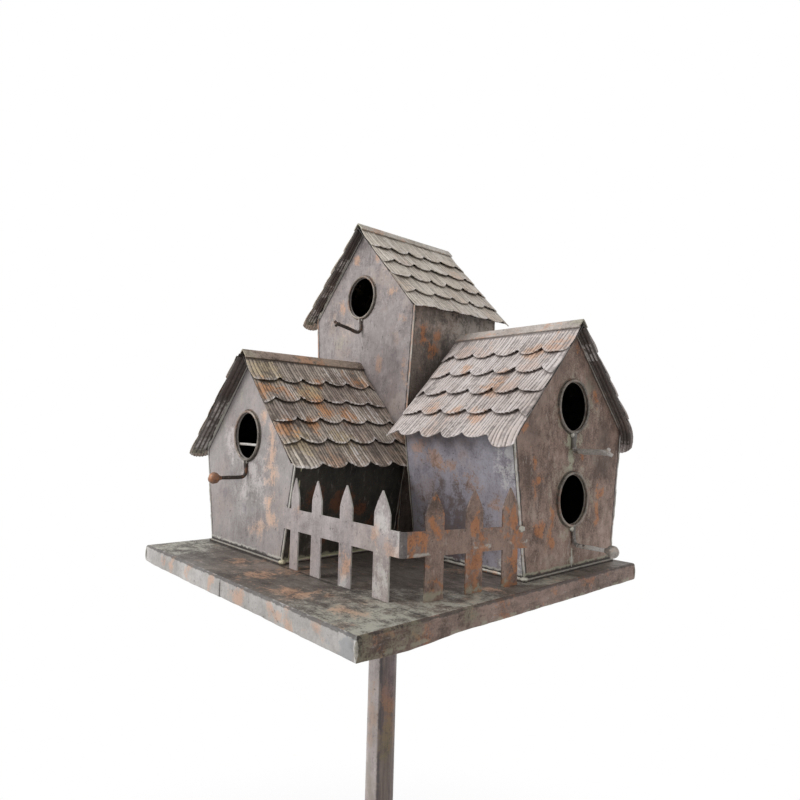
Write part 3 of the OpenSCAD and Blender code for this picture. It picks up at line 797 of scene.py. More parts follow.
def twin_house_finishes():
    """The twin house's walls: a brown front, green under its entrances, and a slate side with a painted sheen
    by its front edge.
    """
    front = Finish("twin house front", shade(182, 154, 139), shade(98, 79, 70), contrast=1.3, warmth=0.3,
                   scuffs=0.5)
    for places, colour, strength, softness in (
            (((3, 128, 52, 54), (1, 54, 50, 54)), SOLDER_GREEN, 0.42, 0.06),
            (((-1, 16, 8, 30), (-2, 94, 8, 30), (0, 102, 16, 14)), SOLDER_GREEN, 0.85, 0.06),
            (((-40, 150, 30, 30), (-20, 170, 20, 30), (30, 160, 22, 28), (-54, 110, 24, 28), (48, 94, 22, 34)),
             UMBER_DARK, 0.45, 0.1),
            (((-20, 10, 40, 9), (40, 10, 24, 9), (-50, 50, 12, 26)), shade(176, 158, 146), 0.4, 0.06),
            (((30, 109, 6, 15), (-47, 67, 9, 16), (42, 63, 8, 18), (-45, 34, 10, 15), (-29, 41, 8, 15),
              (-28, 25, 9, 11), (16, 90, 6, 10), (35, 41, 8, 18), (-61, 112, 9, 7), (34, 137, 7, 10),
              (10, 178, 6, 12), (-54, 90, 7, 12)), RUST_ORANGE, 0.8, 0.03)):
        front_stains(front, TWIN, places, colour, strength, softness)
    rake_seams(front, TWIN)
    edge_seams(front, TWIN, SOLDER_AND_SHEEN_WHITE, broken=0.3)
    foot_seam(front, SOLDER_GREEN)
    left = Finish("twin house left side", SLATE_LIGHT, SLATE_DARK, shade(186, 158, 146), warmth=0.35)
    for back, height, reach in ((98, 92, 10), (84, 86, 11), (68, 80, 12), (54, 72, 12), (40, 64, 12),
                                (24, 52, 12)):
        centre = TWIN.at(-TWIN.half_eave, back * MM, over_tray(height))
        left.stain(centre, TWIN.sized(1.3 * reach, 20, reach), RUST_PALE, 0.5)
    for half, back, height, reach, colour, strength, softness in (
            (TWIN.half_eave, 66, 26, (130, 70, 78), shade(92, 76, 72), 0.85, 0.1),
            (TWIN.half_foot, 5, 12, (13, 20, 24), SOLDER_AND_SHEEN_WHITE, 0.8, 0.0),
            # Solder and a painted sheen: a pale strip high up by the front edge.
            (TWIN.half_eave, 4, 84, (16, 20, 44), SOLDER_AND_SHEEN_WHITE, 0.5, 0.0)):
        left.stain(TWIN.at(-half, back * MM, over_tray(height)), TWIN.sized(*reach), colour, strength, softness)
    foot_seam(left, PALE_SOLDER_AND_HIGHLIGHT)
    right = foot_seam(brown_wall("twin house right side"), SOLDER_GREEN)
    return {"front": front, "left": left, "right": right, "back": brown_wall("twin house back")}


def dress(node, material):
    """Gives a solid of the frame its finish."""
    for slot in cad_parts[node].material_slots:
        slot.material = material


# Walls and floors: bare metal with a painted highlight on the walls' cut edges, and painted shade on their nest
# sides
floor_finish = Finish("floor plates", UMBER_LIGHT, UMBER_DARK, grain=FLAT_GRAIN).rust(0.36, 30)
# The joint with the tray and painted shadow: dark low down on the plates' fronts, below a pale top edge.
floor_finish.level_seam(0.4, 1.2, DARK_SEAM_AND_SHADOW, 0.9)
floor_material = floor_finish.level_seam(1.9, 0.6, PALE_SOLDER_AND_HIGHLIGHT, 0.7, 0.25).done()
for house, wall_finishes in zip(HOUSES, (low_house_finishes, tall_house_finishes, twin_house_finishes)):
    dress(f"{house.name}_floor", floor_material)
    planes = wall_planes(house)
    for wall, finish in wall_finishes().items():
        point, inward = planes[wall]
        # Bare metal with a painted highlight on the cut edges, and painted shade on the nest sides.
        finish.cut_edge(inward, PALE_SOLDER_AND_HIGHLIGHT).inside(point, inward)
        dress(f"{house.name}_{wall}_wall", finish.done())

# Shingles: five ribbed courses on each slope
COURSES = 5
FIRST_COURSE = 11.5 * MM
COURSE_STEP = 23.3 * MM
COURSE_LAP = 8 * MM
COURSE_SHIFTS = (0.04, 0.5)
SHINGLE_WIDTH = 24.5 * MM
SCALLOP_DEPTH = 6 * MM
SCALLOP_POWER = 2.4
EAVE_SCALLOP = 0.7
RIBS_PER_SHINGLE = 8
STEPS_PER_RIB = 6
RIB_HEIGHT = 0.85 * MM
RIB_ROUNDNESS = 0.6
SHINGLE_SHEET = 0.6 * MM
SHINGLE_REST = 1.4 * MM
SHINGLE_LIFT = 2.8 * MM
SHINGLE_ROWS = (0, 0.07, 0.13, 0.18, 0.22, 0.26, 0.3, 0.34, 0.42, 0.56, 0.7, 0.85, 1)
# How far below the edge of the strip above its painted shadow fades out
LAP_SHADOW = 1.9 * MM
TOP_RISE = 1.2 * MM
DENT_LENGTH, DENT_WIDTH, DENT_HEIGHT = 9 * MM, 12 * MM, 0.3 * MM
ROOF_LENGTH = FIRST_COURSE + COURSE_STEP * COURSES
# How far chance moves a course and widens a shingle, and the parts of a tone that a shingle and a rib give
SHIFT_SPREAD, WIDTH_SPREAD = 0.2, 0.08
SHINGLE_TONE, RIB_TONE = 0.6, 0.4
# How a strip rises towards its lower edge, and how its front end swells
LIFT_POWER, SWELL_POWER = 1.3, 1.4
# How the strips lie towards the roof's ends: pressed down over a width, with what is left of lift and ribs
VERGE_PRESS = 9 * MM
VERGE_LIFT = 0.35
VERGE_RIB = 0.4
UPPER_RIB = 0.55
SIDE_RUST = 0.35
EAVE_FRONT = 26 * MM
EAVE_BLEND = 0.4
LEAST_TURN = 1e-4
# The base sheet, and the ribbed underside in front of the gable
BASE_SHEET = 0.8 * MM
BASE_LENGTH = 121 * MM
BASE_ROWS, BASE_COLUMNS = 40, 34
SOFFIT_WIDTH = 9.5 * MM
SOFFIT_RIBS = 3
SOFFIT_START, SOFFIT_END = 2 * MM, BASE_LENGTH + 3 * MM
SOFFIT_ROWS, ROWS_PER_TONE = 44, 6
SOFFIT_TOP, SOFFIT_SINK = 0.05 * MM, 0.3 * MM
SOFFIT_RUST, SOFFIT_PLACE = 0.2, 0.62
# Slopes that turn away lie flatter on a higher rest
FAR_REST = 1.2 * MM
FAR_LIFT = 0.6
FAR_FROM = 0.6

Column = namedtuple("Column", "along across shingle step")


def scallop_columns(start, end, shift, draw):
    """Columns of one course: place along the roof and across the shingle (-1 to 1), shingle and step."""
    columns = []
    left = start - shift
    shingle = 0
    while left < end:
        width = SHINGLE_WIDTH * (1 + WIDTH_SPREAD * draw.uniform(-1, 1))
        widths = [draw.uniform(0.65, 1.35) for _ in range(RIBS_PER_SHINGLE)]
        starts = np.concatenate([[0], np.cumsum(widths) / sum(widths)])
        for step in range(RIBS_PER_SHINGLE * STEPS_PER_RIB):
            share = np.interp(step / STEPS_PER_RIB, range(RIBS_PER_SHINGLE + 1), starts)
            along = left + width * share
            if start <= along <= end:
                columns.append(Column(along, 2 * share - 1, shingle, step))
        left += width
        shingle += 1
    return columns


def drawn_shingles(draw, count):
    """What sets each shingle of a course apart, drawn by chance."""
    return [{"depth": SCALLOP_DEPTH * draw.uniform(0.75, 1.2),
             "drop": draw.uniform(-0.9, 0.9) * MM,
             "lift": draw.uniform(-0.6, 0.8) * MM,
             "tone": draw.random(),
             "skew": draw.uniform(-1.0, 1.0) * MM,
             "rust": draw.random() ** 5,
             "ribs": [draw.uniform(0.45, 1.25) for _ in range(RIBS_PER_SHINGLE)],
             "tones": [draw.random() for _ in range(RIBS_PER_SHINGLE)]} for _ in range(count)]


def rib_height(step):
    """Height of the pressed rib at a column: round ribs with narrow grooves between them."""
    phase = step % STEPS_PER_RIB / STEPS_PER_RIB
    return RIB_HEIGHT * math.sin(math.pi * phase) ** RIB_ROUNDNESS if phase else 0.0


class Eave:
    """How a slope hangs: its eave's droop, and how its front corner drops, lifts, bends and comes ahead."""

    def __init__(self, droop, drop=0.0, lift=0.0, turn=0.0, bend=15.0, ahead=0.0):
        self.droop, self.drop, self.lift, self.bend, self.ahead = mm(droop, drop, lift, bend, ahead)
        self.turn = math.radians(turn)

    def front_share(self, house, along):
        """1 at the roof's front corner, 0 further back."""
        return ease((EAVE_FRONT - along + house.roof_front) / (EAVE_BLEND * EAVE_FRONT))

    def hang(self, slope, down, along, out):
        """Points of a slope, with the front corner at the eave lifted and bent down."""
        share = self.front_share(slope.house, along)
        out = out + self.lift * share * (down / ROOF_LENGTH) ** 2
        rate = np.maximum(self.turn * share, LEAST_TURN) / self.bend
        start = ROOF_LENGTH - self.bend
        turned = rate * np.clip(down - start, 0, None)
        down = np.minimum(down, start) + np.sin(turned) / rate
        return slope.spread(down, along, out - (1 - np.cos(turned)) / rate)


def shingle_dents(along, down, course):
    """Small dents of the sheet over a whole course."""
    return DENT_HEIGHT * np.array([
        [noise.noise(Vector((a / DENT_LENGTH, d / DENT_WIDTH, course * 7.3))) for a, d in zip(*row)]
        for row in zip(along, down)])


def shingle_course(basket, slope, course, draw, eave, above):
    """One strip of ribbed, scalloped shingles that laps over the strip below it; gives its lower edge."""
    house = slope.house
    shift = SHINGLE_WIDTH * COURSE_SHIFTS[course % 2] * (1 + SHIFT_SPREAD * draw.uniform(-1, 1))
    front, back = house.roof_front - eave.ahead, house.roof_back
    columns = scallop_columns(front, back, shift, draw)
    own = drawn_shingles(draw, columns[-1].shingle + 1)

    def of_shingle(trait):
        return np.array([own[column.shingle][trait] for column in columns])

    def of_rib(trait):
        return np.array([own[column.shingle][trait][column.step // STEPS_PER_RIB] for column in columns])

    along = np.array([column.along for column in columns])
    across = np.array([column.across for column in columns])
    bulge = 1 - across ** 2
    depth, drop = of_shingle("depth"), of_shingle("drop") * bulge
    if course == COURSES - 1:
        depth = depth * EAVE_SCALLOP
        drop = drop + eave.droop * bulge + eave.drop * eave.front_share(house, along)
    lowest = FIRST_COURSE + COURSE_STEP * (course + 1)
    upper = lowest - COURSE_STEP - COURSE_LAP
    edge = lowest + drop - depth * np.abs(across) ** SCALLOP_POWER
    press = ease((back - along if slope.far else np.minimum(along - front, back - along)) / VERGE_PRESS)
    lift = (SHINGLE_LIFT + of_shingle("lift") * bulge) * rising(VERGE_LIFT, press)
    ribs = np.array([rib_height(column.step) for column in columns]) * of_rib("ribs")
    share = np.array(SHINGLE_ROWS)[:, None]
    down = upper + share * (edge - upper)
    rest = SHINGLE_REST
    if slope.far:
        lift = lift * FAR_LIFT
        rest = rest + FAR_REST * np.clip(down / COURSE_STEP - FAR_FROM, 0, 1)
    sway = along + of_shingle("skew") * bulge * (share - 0.5)
    pressed_ribs = ribs * rising(UPPER_RIB, share) * rising(VERGE_RIB, press)
    out = rest + lift * share ** LIFT_POWER + pressed_ribs + shingle_dents(sway, down, course)
    if course == 0:
        out = out + TOP_RISE * (1 - share) ** 2
    verge = np.clip(1 - (along - front) / VERGE_PRESS, 0, 1) * draw.uniform(0.3, 1.4) * MM
    sway = np.clip(sway, front, back) - verge * np.sin(math.pi * share ** SWELL_POWER)
    tones = SHINGLE_TONE * of_shingle("tone") + RIB_TONE * of_rib("tones")
    rust = of_shingle("rust") * rising(SIDE_RUST, bulge)
    # Painted shadow under the lap of the strip above: dark at that strip's edge, lit further down as high as
    # the rib stands.
    lit = np.clip((down - np.interp(along, *above)) / LAP_SHADOW, 0, 1) * ribs / RIB_HEIGHT
    paint = np.stack(np.broadcast_arrays(tones, rust, share, lit), axis=-1).reshape(-1, 4).tolist()
    basket.sheet(eave.hang(slope, down, sway, out), eave.hang(slope, down, sway, out - SHINGLE_SHEET), paint)
    return along, edge


def soffit(basket, slope, eave, draw):
    """The ribbed underside that shows in front of the gable, on the slope that turns away."""
    steps = SOFFIT_RIBS * STEPS_PER_RIB
    front = slope.house.roof_front - eave.ahead
    along = front + (SOFFIT_WIDTH + eave.ahead) * np.linspace(0, 1, steps + 1)[None, :]
    down = np.linspace(SOFFIT_START, SOFFIT_END, SOFFIT_ROWS)[:, None]
    ribs = np.array([rib_height(step) for step in range(steps + 1)])
    under = -SOFFIT_SINK - ribs * np.ones_like(down)
    tone = [draw.random() for _ in range(SOFFIT_ROWS)]
    paint = [(tone[row // ROWS_PER_TONE], SOFFIT_RUST, SOFFIT_PLACE, rib / RIB_HEIGHT)
             for row in range(SOFFIT_ROWS) for rib in ribs]
    basket.sheet(eave.hang(slope, down, along, SOFFIT_TOP), eave.hang(slope, down, along, under), paint)


def roof_slope(house, side, material, seed, eave):
    """A slope: the base sheet, the ribbed soffit of a far slope and five courses of shingles."""
    draw = random.Random(seed)
    slope = Slope(house, side)
    basket = Basket()
    basket.look = 1
    along = np.linspace(house.roof_front - eave.ahead, house.roof_back, BASE_COLUMNS)[None, :]
    down = np.linspace(0, BASE_LENGTH, BASE_ROWS)[:, None]
    mitre = np.where(down == 0, -BASE_SHEET * math.tan(ROOF_PITCH), 0)
    basket.sheet(eave.hang(slope, down + mitre, along, BASE_SHEET), eave.hang(slope, down, along, 0.0))
    basket.look = 2
    if slope.far:
        soffit(basket, slope, eave, draw)
    basket.look = 0
    under_cap = 0.7 * CAP_LEG
    above = ((house.roof_front, house.roof_back), (under_cap, under_cap))
    for course in range(COURSES):
        above = shingle_course(basket, slope, course, draw, eave, above)
    word = "right" if side > 0 else "left"
    basket.piece(f"{house.name}_{word}_shingles", [material, under_roof_material, soffit_material],
                 [f"{house.name}_{word}_roof"])


# Ridge caps: places across the strip, as shares of a leg from the ridge
CAP_ROWS = (-1, -0.7, -0.4, -0.2, -0.08, 0, 0.08, 0.2, 0.4, 0.7, 1)
CAP_COLUMNS = 48
CAP_LEG = 10.5 * MM
CAP_SHEET = 1.0 * MM
FAR_LEG = 0.85
CAP_CROWN = 0.55 * MM
CROWN_WIDTH = 1.6 * MM
CAP_RIPPLE, CAP_WAVE = 7 * MM, 22 * MM


def ridge_cap(house, material, seed):
    """The folded strip over the ridge, a little uneven along its edges."""
    along = np.linspace(house.roof_front, house.roof_back, CAP_COLUMNS)
    outer, inner = [], []
    for row in CAP_ROWS:
        leg = row * CAP_LEG
        ripple = waves(along, CAP_RIPPLE, leg * 40, seed)
        wave = waves(along, CAP_WAVE, leg * 9, seed + 5)
        reach = abs(leg) * (FAR_LEG if row * house.far_side > 0 else 1)
        length = reach + (0.6 * ripple + 0.6 * wave) * MM * row ** 2
        lift = (0.3 * ripple + 0.35 * wave) * MM * row ** 2
        x = math.copysign(1, row) * length * PITCH_COS
        z = house.ridge - length * PITCH_SIN - CAP_CROWN * math.exp(-(reach / CROWN_WIDTH) ** 2)
        for skin, rows in ((0, outer), (CAP_SHEET, inner)):
            out = lift - skin
            rows.append(house.spread(x + np.sign(row) * PITCH_SIN * out, along, z + PITCH_COS * out))
    basket = Basket()
    basket.sheet(np.array(outer), np.array(inner))
    basket.piece(f"{house.name}_folded_cap", [material], [f"{house.name}_ridge_cap"])


def patches(slope, places, colour):
    """Patches on a slope's shingles, given as places down and along it and their reach, in mm."""
    return [(Vector(slope.spread(down * MM, along * MM, 4 * MM)), reach * MM, colour)
            for down, along, reach in places]


# Rusty, ochre and brown patches on the two slopes that show
LOW_RUST = ((43, -4, 17), (47, 15, 13), (64, 43, 18), (86, -4, 20), (83, 25, 15), (70, 67, 15), (31, 55, 9))
LOW_OCHRE = ((21, 2, 26), (44, 40, 18), (104, 6, 22), (100, 50, 22))
LOW_BROWN = ((30, 80, 36), (54, 66, 30), (66, 8, 30), (92, 60, 34), (108, 84, 30), (52, 96, 30))
TWIN_RUST = ((30, 20, 14), (62, 40, 13), (76, 39, 14), (103, 62, 11), (105, 37, 11), (100, 88, 11),
             (52, 84, 12))

under_roof = Finish("roof underside", shade(78, 69, 64), shade(40, 35, 32), grain=(60, 60, 60), contrast=1.2)
under_roof.rust(0.36, 40, RUST_DEEP, 0.5)
for house in HOUSES:
    # Painted shade: near-black under each house's roof, inside the nest.
    under_roof.stain(house.at(0, house.depth / 2, house.peak - 40 * MM), mm(150, 150, 150), INSIDE_SHADE_BLACK, 0.95)
under_roof_material = under_roof.done()
lobes = [(house.at(-house.half_eave - 10 * MM, house.roof_front, house.eave - 8 * MM), 22 * MM, SOLDER_GREEN)
         for house in (LOW, TALL)]
soffit_material = shingle_finish("ribbed soffit", shade(124, 114, 110), shade(78, 70, 67), RUST_DEEP, 0.4,
                                 0.7, lobes)
low_slope, twin_slope = Slope(LOW, 1), Slope(TWIN, -1)
low_patches = patches(low_slope, LOW_BROWN, shade(150, 132, 124)) + patches(low_slope, LOW_OCHRE, OCHRE)
low_patches += patches(low_slope, LOW_RUST, shade(222, 154, 94))
twin_patches = patches(twin_slope, TWIN_RUST, shade(230, 184, 150))
for house, ridge, groove, rust, rusty_share, grime_and_shade, spots, right_eave, left_eave, seed in (
        (LOW, shade(255, 244, 228), shade(158, 142, 131), shade(208, 142, 84), 0.8, 0.78, low_patches,
         Eave(1.5), Eave(1.5, drop=4, lift=4, turn=10, ahead=3), 11),
        (TALL, shade(250, 242, 230), shade(216, 205, 191), RUST_PALE, 0.4, 0.5, (),
         Eave(-1.2), Eave(0.5, drop=4, lift=5, turn=10), 23),
        (TWIN, shade(250, 241, 238), shade(204, 192, 187), RUST_PALE, 0.7, 0.6, twin_patches,
         Eave(2, drop=5, turn=50, bend=26), Eave(2, drop=4, turn=22), 37)):
    material = shingle_finish(f"{house.words} shingles", ridge, groove, rust, rusty_share, grime_and_shade, spots)
    roof_slope(house, 1, material, seed, right_eave)
    roof_slope(house, -1, material, seed + 1, left_eave)

for house, light, dark, contrast, warmth, seed in (
        (LOW, shade(196, 176, 158), shade(88, 76, 67), 1.5, 0.7, 3.0),
        (TALL, shade(226, 219, 208), shade(150, 141, 130), 1.2, 0.5, 4.0),
        (TWIN, shade(220, 210, 202), shade(138, 128, 121), 1.2, 0.5, 5.0)):
    finish = Finish(f"{house.words} cap", light, dark, grain=ROUGH_GRAIN, contrast=contrast, warmth=warmth)
    if house is LOW:
        finish.stain(LOW.at(4 * MM, 52 * MM, LOW.ridge - 4 * MM), mm(18, 18, 18), RUST_PALE, 0.7, 0.05)
    finish.rust(0.4, 40, RUST_PALE, 0.6)
    finish.stain(house.at(0, house.roof_front, house.ridge - 4 * MM), mm(12, 12, 12), SOLDER_GREEN, 0.6, 0.05)
    ridge_cap(house, finish.done(), seed)

# Tray: one sheet folded down on four sides
RIM_SHEET = 0.8 * MM
RIM_FOLD = 1.8 * MM
RIM_HEM = 1.4 * MM
RIM_COLUMNS = 161
RIM_WAVE, RIM_RIPPLE = 34 * MM, 9 * MM
CALM_CORNER = 0.12
LAP_PLACE = -6 * MM
LAP_STEP = 0.8 * MM
LAP_BLEND = 0.6 * MM
RIM_SAG = 1.6 * MM
SAG_PLACE, SAG_WIDTH = -0.78 * TRAY_HALF, 30 * MM
RIM_SIDES = ("front", "right", "back", "left")


def rim_section(skin):
    """The rim from the fold to the hem, a skin inside its outer face: steps in from the edge and down."""
    fold, hem = RIM_FOLD - skin, RIM_HEM - skin
    section = [(RIM_FOLD - fold * math.sin(angle), RIM_FOLD - fold * math.cos(angle))
               for angle in np.linspace(0, math.pi / 2, 7)]
    section += [(skin, down) for down in np.linspace(RIM_FOLD, RIM_DROP - RIM_HEM, 6)[1:]]
    section += [(RIM_HEM - hem * math.cos(angle), RIM_DROP - RIM_HEM + hem * math.sin(angle))
                for angle in np.linspace(0, math.pi / 2, 5)[1:]]
    return np.array(section)


def tray_rim(basket, quarter, lap, sag):
    """One side of the tray, folded down, a little wavy and mitred at both corners."""
    turn = np.array(Matrix.Rotation(quarter * math.pi / 2, 3, "Z"))
    share = np.linspace(-1, 1, RIM_COLUMNS)
    place = share * TRAY_HALF
    calm = np.clip((1 - np.abs(share)) / CALM_CORNER, 0, 1)
    wave = waves(place, RIM_WAVE, quarter, 0.5) * 0.6 * MM
    ripple = waves(place, RIM_RIPPLE, quarter, 4.5) * 0.2 * MM
    lapped = lap * np.clip((LAP_PLACE - place) / LAP_BLEND + 0.5, 0, 1)
    hang = sag * np.exp(-((place - SAG_PLACE) / SAG_WIDTH) ** 2)
    faces = []
    for skin in (0.0, RIM_SHEET):
        section = rim_section(skin)
        inset, down = section[:, :1], section[:, 1:]
        below = np.clip((down - RIM_FOLD) / (RIM_DROP - RIM_FOLD), 0, 1)
        half = TRAY_HALF - inset
        out = calm * (below * (wave + ripple) + below ** 0.25 * lapped)
        depth = down + calm * below * (0.8 * ripple + hang)
        local = np.stack(np.broadcast_arrays(half * share, -half - out, TRAY_TOP - depth), axis=-1)
        faces.append(local @ turn.T)
    basket.sheet(*faces)


def tray_pan(materials):
    """The tray: its flat top and the four rims, each with its own finish."""
    basket = Basket()
    flat = TRAY_HALF - RIM_FOLD
    corners = np.array([[(-flat, flat), (flat, flat)], [(-flat, -flat), (flat, -flat)]])
    top = np.concatenate([corners, np.full((2, 2, 1), TRAY_TOP)], axis=-1)
    basket.sheet(top, top - np.array([0, 0, RIM_SHEET]))
    for quarter, side in enumerate(RIM_SIDES):
        basket.look = quarter + 1
        tray_rim(basket, quarter, LAP_STEP if side == "front" else 0.0, RIM_SAG if side == "right" else 0.0)
    nodes = ["tray_top"] + [f"tray_rim_{side}" for side in RIM_SIDES]
    basket.piece("folded_tray", materials, nodes, 30)


def tray_top_finish():
    """The flat top: pale towards the front corners, with rust spots and a dark line at the low house's foot:
    dirt and a painted contact shadow.
    """
    finish = Finish("tray top", shade(130, 121, 113), shade(62, 55, 50), grain=FLAT_GRAIN, contrast=1.1,
                    warmth=0.2)
    # Dirt and painted shadow: a dark line along the low house's foot.
    finish.seam(LOW.at(0, -FLOOR_LIP - 1.2 * MM, 0), (0, 1, 0), 1.6, DARK_SEAM_AND_SHADOW, 0.85, 0.25)
    for x, y, reach in ((142, -132, 92), (-138, -134, 60), (146, -50, 40), (142, 40, 34)):
        finish.stain(on_tray(x, y), mm(reach, reach, 6), shade(194, 193, 180), 0.85, 0.16)
    for x, y, reach in ((-45, -119, 16), (2, -122, 18), (56, -130, 18), (111, -129, 17), (134, -20, 14),
                        (-10, 120, 20)):
        finish.stain(on_tray(x, y), mm(1.3 * reach, 0.8 * reach, 6), RUST_PALE, 0.55, 0.07)
    return finish.rust(0.36, 26, RUST_PALE, 0.35)


def fold_line(finish):
    """The dark line along the tray's fold."""
    return finish.level_seam(-0.7, 1.3, DARK_SEAM_AND_SHADOW, 0.75, 0.3)


def front_rim_finish():
    """The pale front rim, with its lapped seam and a grey corner."""
    finish = Finish("front rim", shade(214, 211, 208), shade(156, 150, 146), contrast=0.9, warmth=0.15)
    for x, reach in ((-107, 10), (-90, 8), (-56, 11), (-20, 8), (18, 14), (68, 12), (84, 9), (114, 12)):
        finish.stain((x * MM, -TRAY_HALF, over_tray(-7)), mm(1.2 * reach, 5, 15), RUST_PALE, 0.55, 0.05)
    finish.stain((142 * MM, -TRAY_HALF, over_tray(-7)), mm(24, 5, 18), shade(168, 168, 170), 0.9)
    finish.seam((TRAY_HALF - 0.8 * MM, 0, 0), (1, 0, 0), 1.6, SOLDER_AND_SHEEN_WHITE, 0.8, 0.3)
    finish.seam((LAP_PLACE, 0, 0), (1, 0, 0), 0.8, DARK_SEAM_AND_SHADOW, 0.8)
    return fold_line(finish)


def brown_rim_finish(side):
    """A brown rim, with green deposits along its hem; the right one is olive towards the front corner."""
    finish = Finish(f"{side} rim", BROWN_LIGHT, shade(84, 69, 61), grain=RAIL_GRAIN, contrast=1.15, warmth=0.3)
    finish.rust(0.42, 34, RUST_ORANGE, 0.55)
    fold_line(finish).level_seam(-12.5, 1.8, SOLDER_GREEN, 0.5, 0.5)
    if side == "right":
        finish.seam((0, 2.2 * MM - TRAY_HALF, 0), (0, 1, 0), 2.4, DARK_SEAM_AND_SHADOW, 0.8, 0.2)
        for y, reach in ((-142, 34), (-112, 22), (-60, 20)):
            finish.stain((TRAY_HALF, y * MM, over_tray(-8)), mm(6, reach, 18), shade(134, 127, 106), 0.7, 0.08)
    return finish


tray_finishes = [tray_top_finish(), front_rim_finish()] + [brown_rim_finish(side) for side in RIM_SIDES[1:]]
tray_pan([finish.done() for finish in tray_finishes])

# Pole: lilac towards the front and left, and painted shade in streaky brown on its other side
POLE_RADIUS = 12 * MM
POLE_RIGHT, POLE_FRONT = Vector((0.67, 0.742, 0)), Vector((0.742, -0.67, 0))
STREAK_GRAIN = (330, 330, 16)
STREAKS = (1.0, 4, 0.65)
POLE_SHADE_FROM, POLE_SHADE_FULL = -3.4 * MM, -1.6 * MM


def pole_finish():
    """A lilac tube with painted shade in streaky brown on one side, rusty spots, and a dark painted shadow line
    where the two meet.
    """
    finish = Finish("pole tube", shade(214, 204, 201), shade(158, 146, 142), grain=POLE_GRAIN, contrast=1.2,
                    warmth=0.3)
    bench = finish.bench
    across = bench.vector("DOT_PRODUCT", finish.place, POLE_RIGHT)
    streaks = bench.noise(bench.vector("MULTIPLY", finish.place, STREAK_GRAIN), *STREAKS)
    streaky_brown_shade = bench.mix(bench.step(streaks, 0.34, 0.66), shade(78, 66, 64), shade(124, 108, 98))
    # Painted shade: the side turned from the key light is painted a darker streaky brown.
    painted_shade_side = bench.step(across, POLE_SHADE_FROM, POLE_SHADE_FULL, 0.0, 0.9)
    finish.colour = bench.mix(painted_shade_side, finish.colour, streaky_brown_shade)
    for right, height, reach, tall, colour in (
            (7, 870, 12, 40, shade(168, 118, 86)), (5, 848, 10, 38, shade(122, 110, 84)),
            (9, 905, 10, 44, shade(128, 110, 114)), (-10, 866, 9, 50, shade(186, 160, 142)),
            (-7, 815, 8, 50, shade(162, 152, 142))):
        ahead = math.sqrt(POLE_RADIUS ** 2 - (right * MM) ** 2)
        spot = POLE_RIGHT * right * MM + POLE_FRONT * ahead + mm(0, 0, height)
        finish.stain(spot, mm(reach, reach, tall), colour, 0.75, 0.1)
    # Painted shadow: a dark line where the lit and the shaded sides meet.
    finish.seam(POLE_RIGHT * -1.2 * MM, POLE_RIGHT, 1.5, shade(74, 69, 73), 0.75, 0.44)
    return finish.rust(0.38, 30, RUST_DEEP, 0.45)


dress("pole", pole_finish().done(smooth=0.35, rough=0.55, metallic=0.25))
dress("pole_flange", floor_material)

# Fence: two cut sheets and the fold between them
FRONT_FENCE_Y = -96
SIDE_FENCE_X = 128


def front_fence_finish():
    """Lilac sheet, with pale rust and worn white on the pickets."""
    finish = Finish("front fence", shade(212, 203, 202), shade(140, 131, 130), warmth=0.25)
    for x, height, reach, strength in ((66, 14, 14, 0.65), (100, 39, 11, 0.45), (115, 36, 11, 0.45),
                                       (4, 42, 11, 0.45)):
        finish.stain(on_tray(x, FRONT_FENCE_Y, height), mm(reach, 6, 1.1 * reach), RUST_PALE, strength, 0.05)
    for x, height, reach in ((104, 12, 14), (104, 54, 11), (66, 2, 9), (118, 42, 8)):
        finish.stain(on_tray(x, FRONT_FENCE_Y, height), mm(reach, 6, 1.6 * reach), SOLDER_AND_SHEEN_WHITE, 0.5, 0.08)
    # Bare metal with a painted highlight on the pickets' cut edges.
    return finish.cut_edge((0, 1, 0), PALE_SOLDER_AND_HIGHLIGHT, 0.9)


def side_fence_finish():
    """Brown sheet, with orange rust on the pickets and deposits at their feet and along the rail."""
    finish = Finish("side fence", shade(160, 134, 120), shade(88, 71, 63), contrast=1.25, warmth=0.3)
    for y, height, reach in ((-88, 40, 9), (-80, 36, 8), (-33, 21, 10), (-34, 46, 8), (3, 18, 9), (-70, 46, 6),
                             (4, 44, 8)):
        finish.stain(on_tray(SIDE_FENCE_X, y, height), mm(30, reach, 1.6 * reach), RUST_ORANGE, 0.75)
    finish.level_seam(3, 4, SOLDER_GREEN, 0.6, 0.4)
    finish.level_seam(30, 1.4, PALE_SOLDER_AND_HIGHLIGHT, 0.6, 0.48)
    return finish.rust(0.42, 40).cut_edge((1, 0, 0), DARK_SEAM_AND_SHADOW, 0.6)


dress("front_fence", front_fence_finish().done())
dress("side_fence", side_fence_finish().done())
dress("fence_corner", Finish("fence fold", shade(124, 117, 115), shade(58, 52, 50)).done())

# Rings, perches and balls
WIRE_STAND_OFF = WIRE_RADIUS + 0.1 * MM
RING_STEPS = 72
Entrance = namedtuple("Entrance", "house ring height seed")


def ring_height(node):
    """The height of an entrance hole's middle, from its ring in the frame."""
    low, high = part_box(node)
    return (low.z + high.z) / 2


ENTRANCES = [Entrance(house, ring, ring_height(f"{house.name}_{ring}"), seed) for house, ring, seed in (
    (LOW, "entrance_ring", 1.0), (TALL, "entrance_ring", 2.0),
    (TWIN, "upper_ring", 3.0), (TWIN, "lower_ring", 4.0))]
LOW_ENTRANCE, TALL_ENTRANCE, UPPER_ENTRANCE, LOWER_ENTRANCE = ENTRANCES


def rough_finish(name, light, dark, **more):
    """The finish of wire, solder and cast metal."""
    return Finish(name, light, dark, grain=ROUGH_GRAIN, **more)


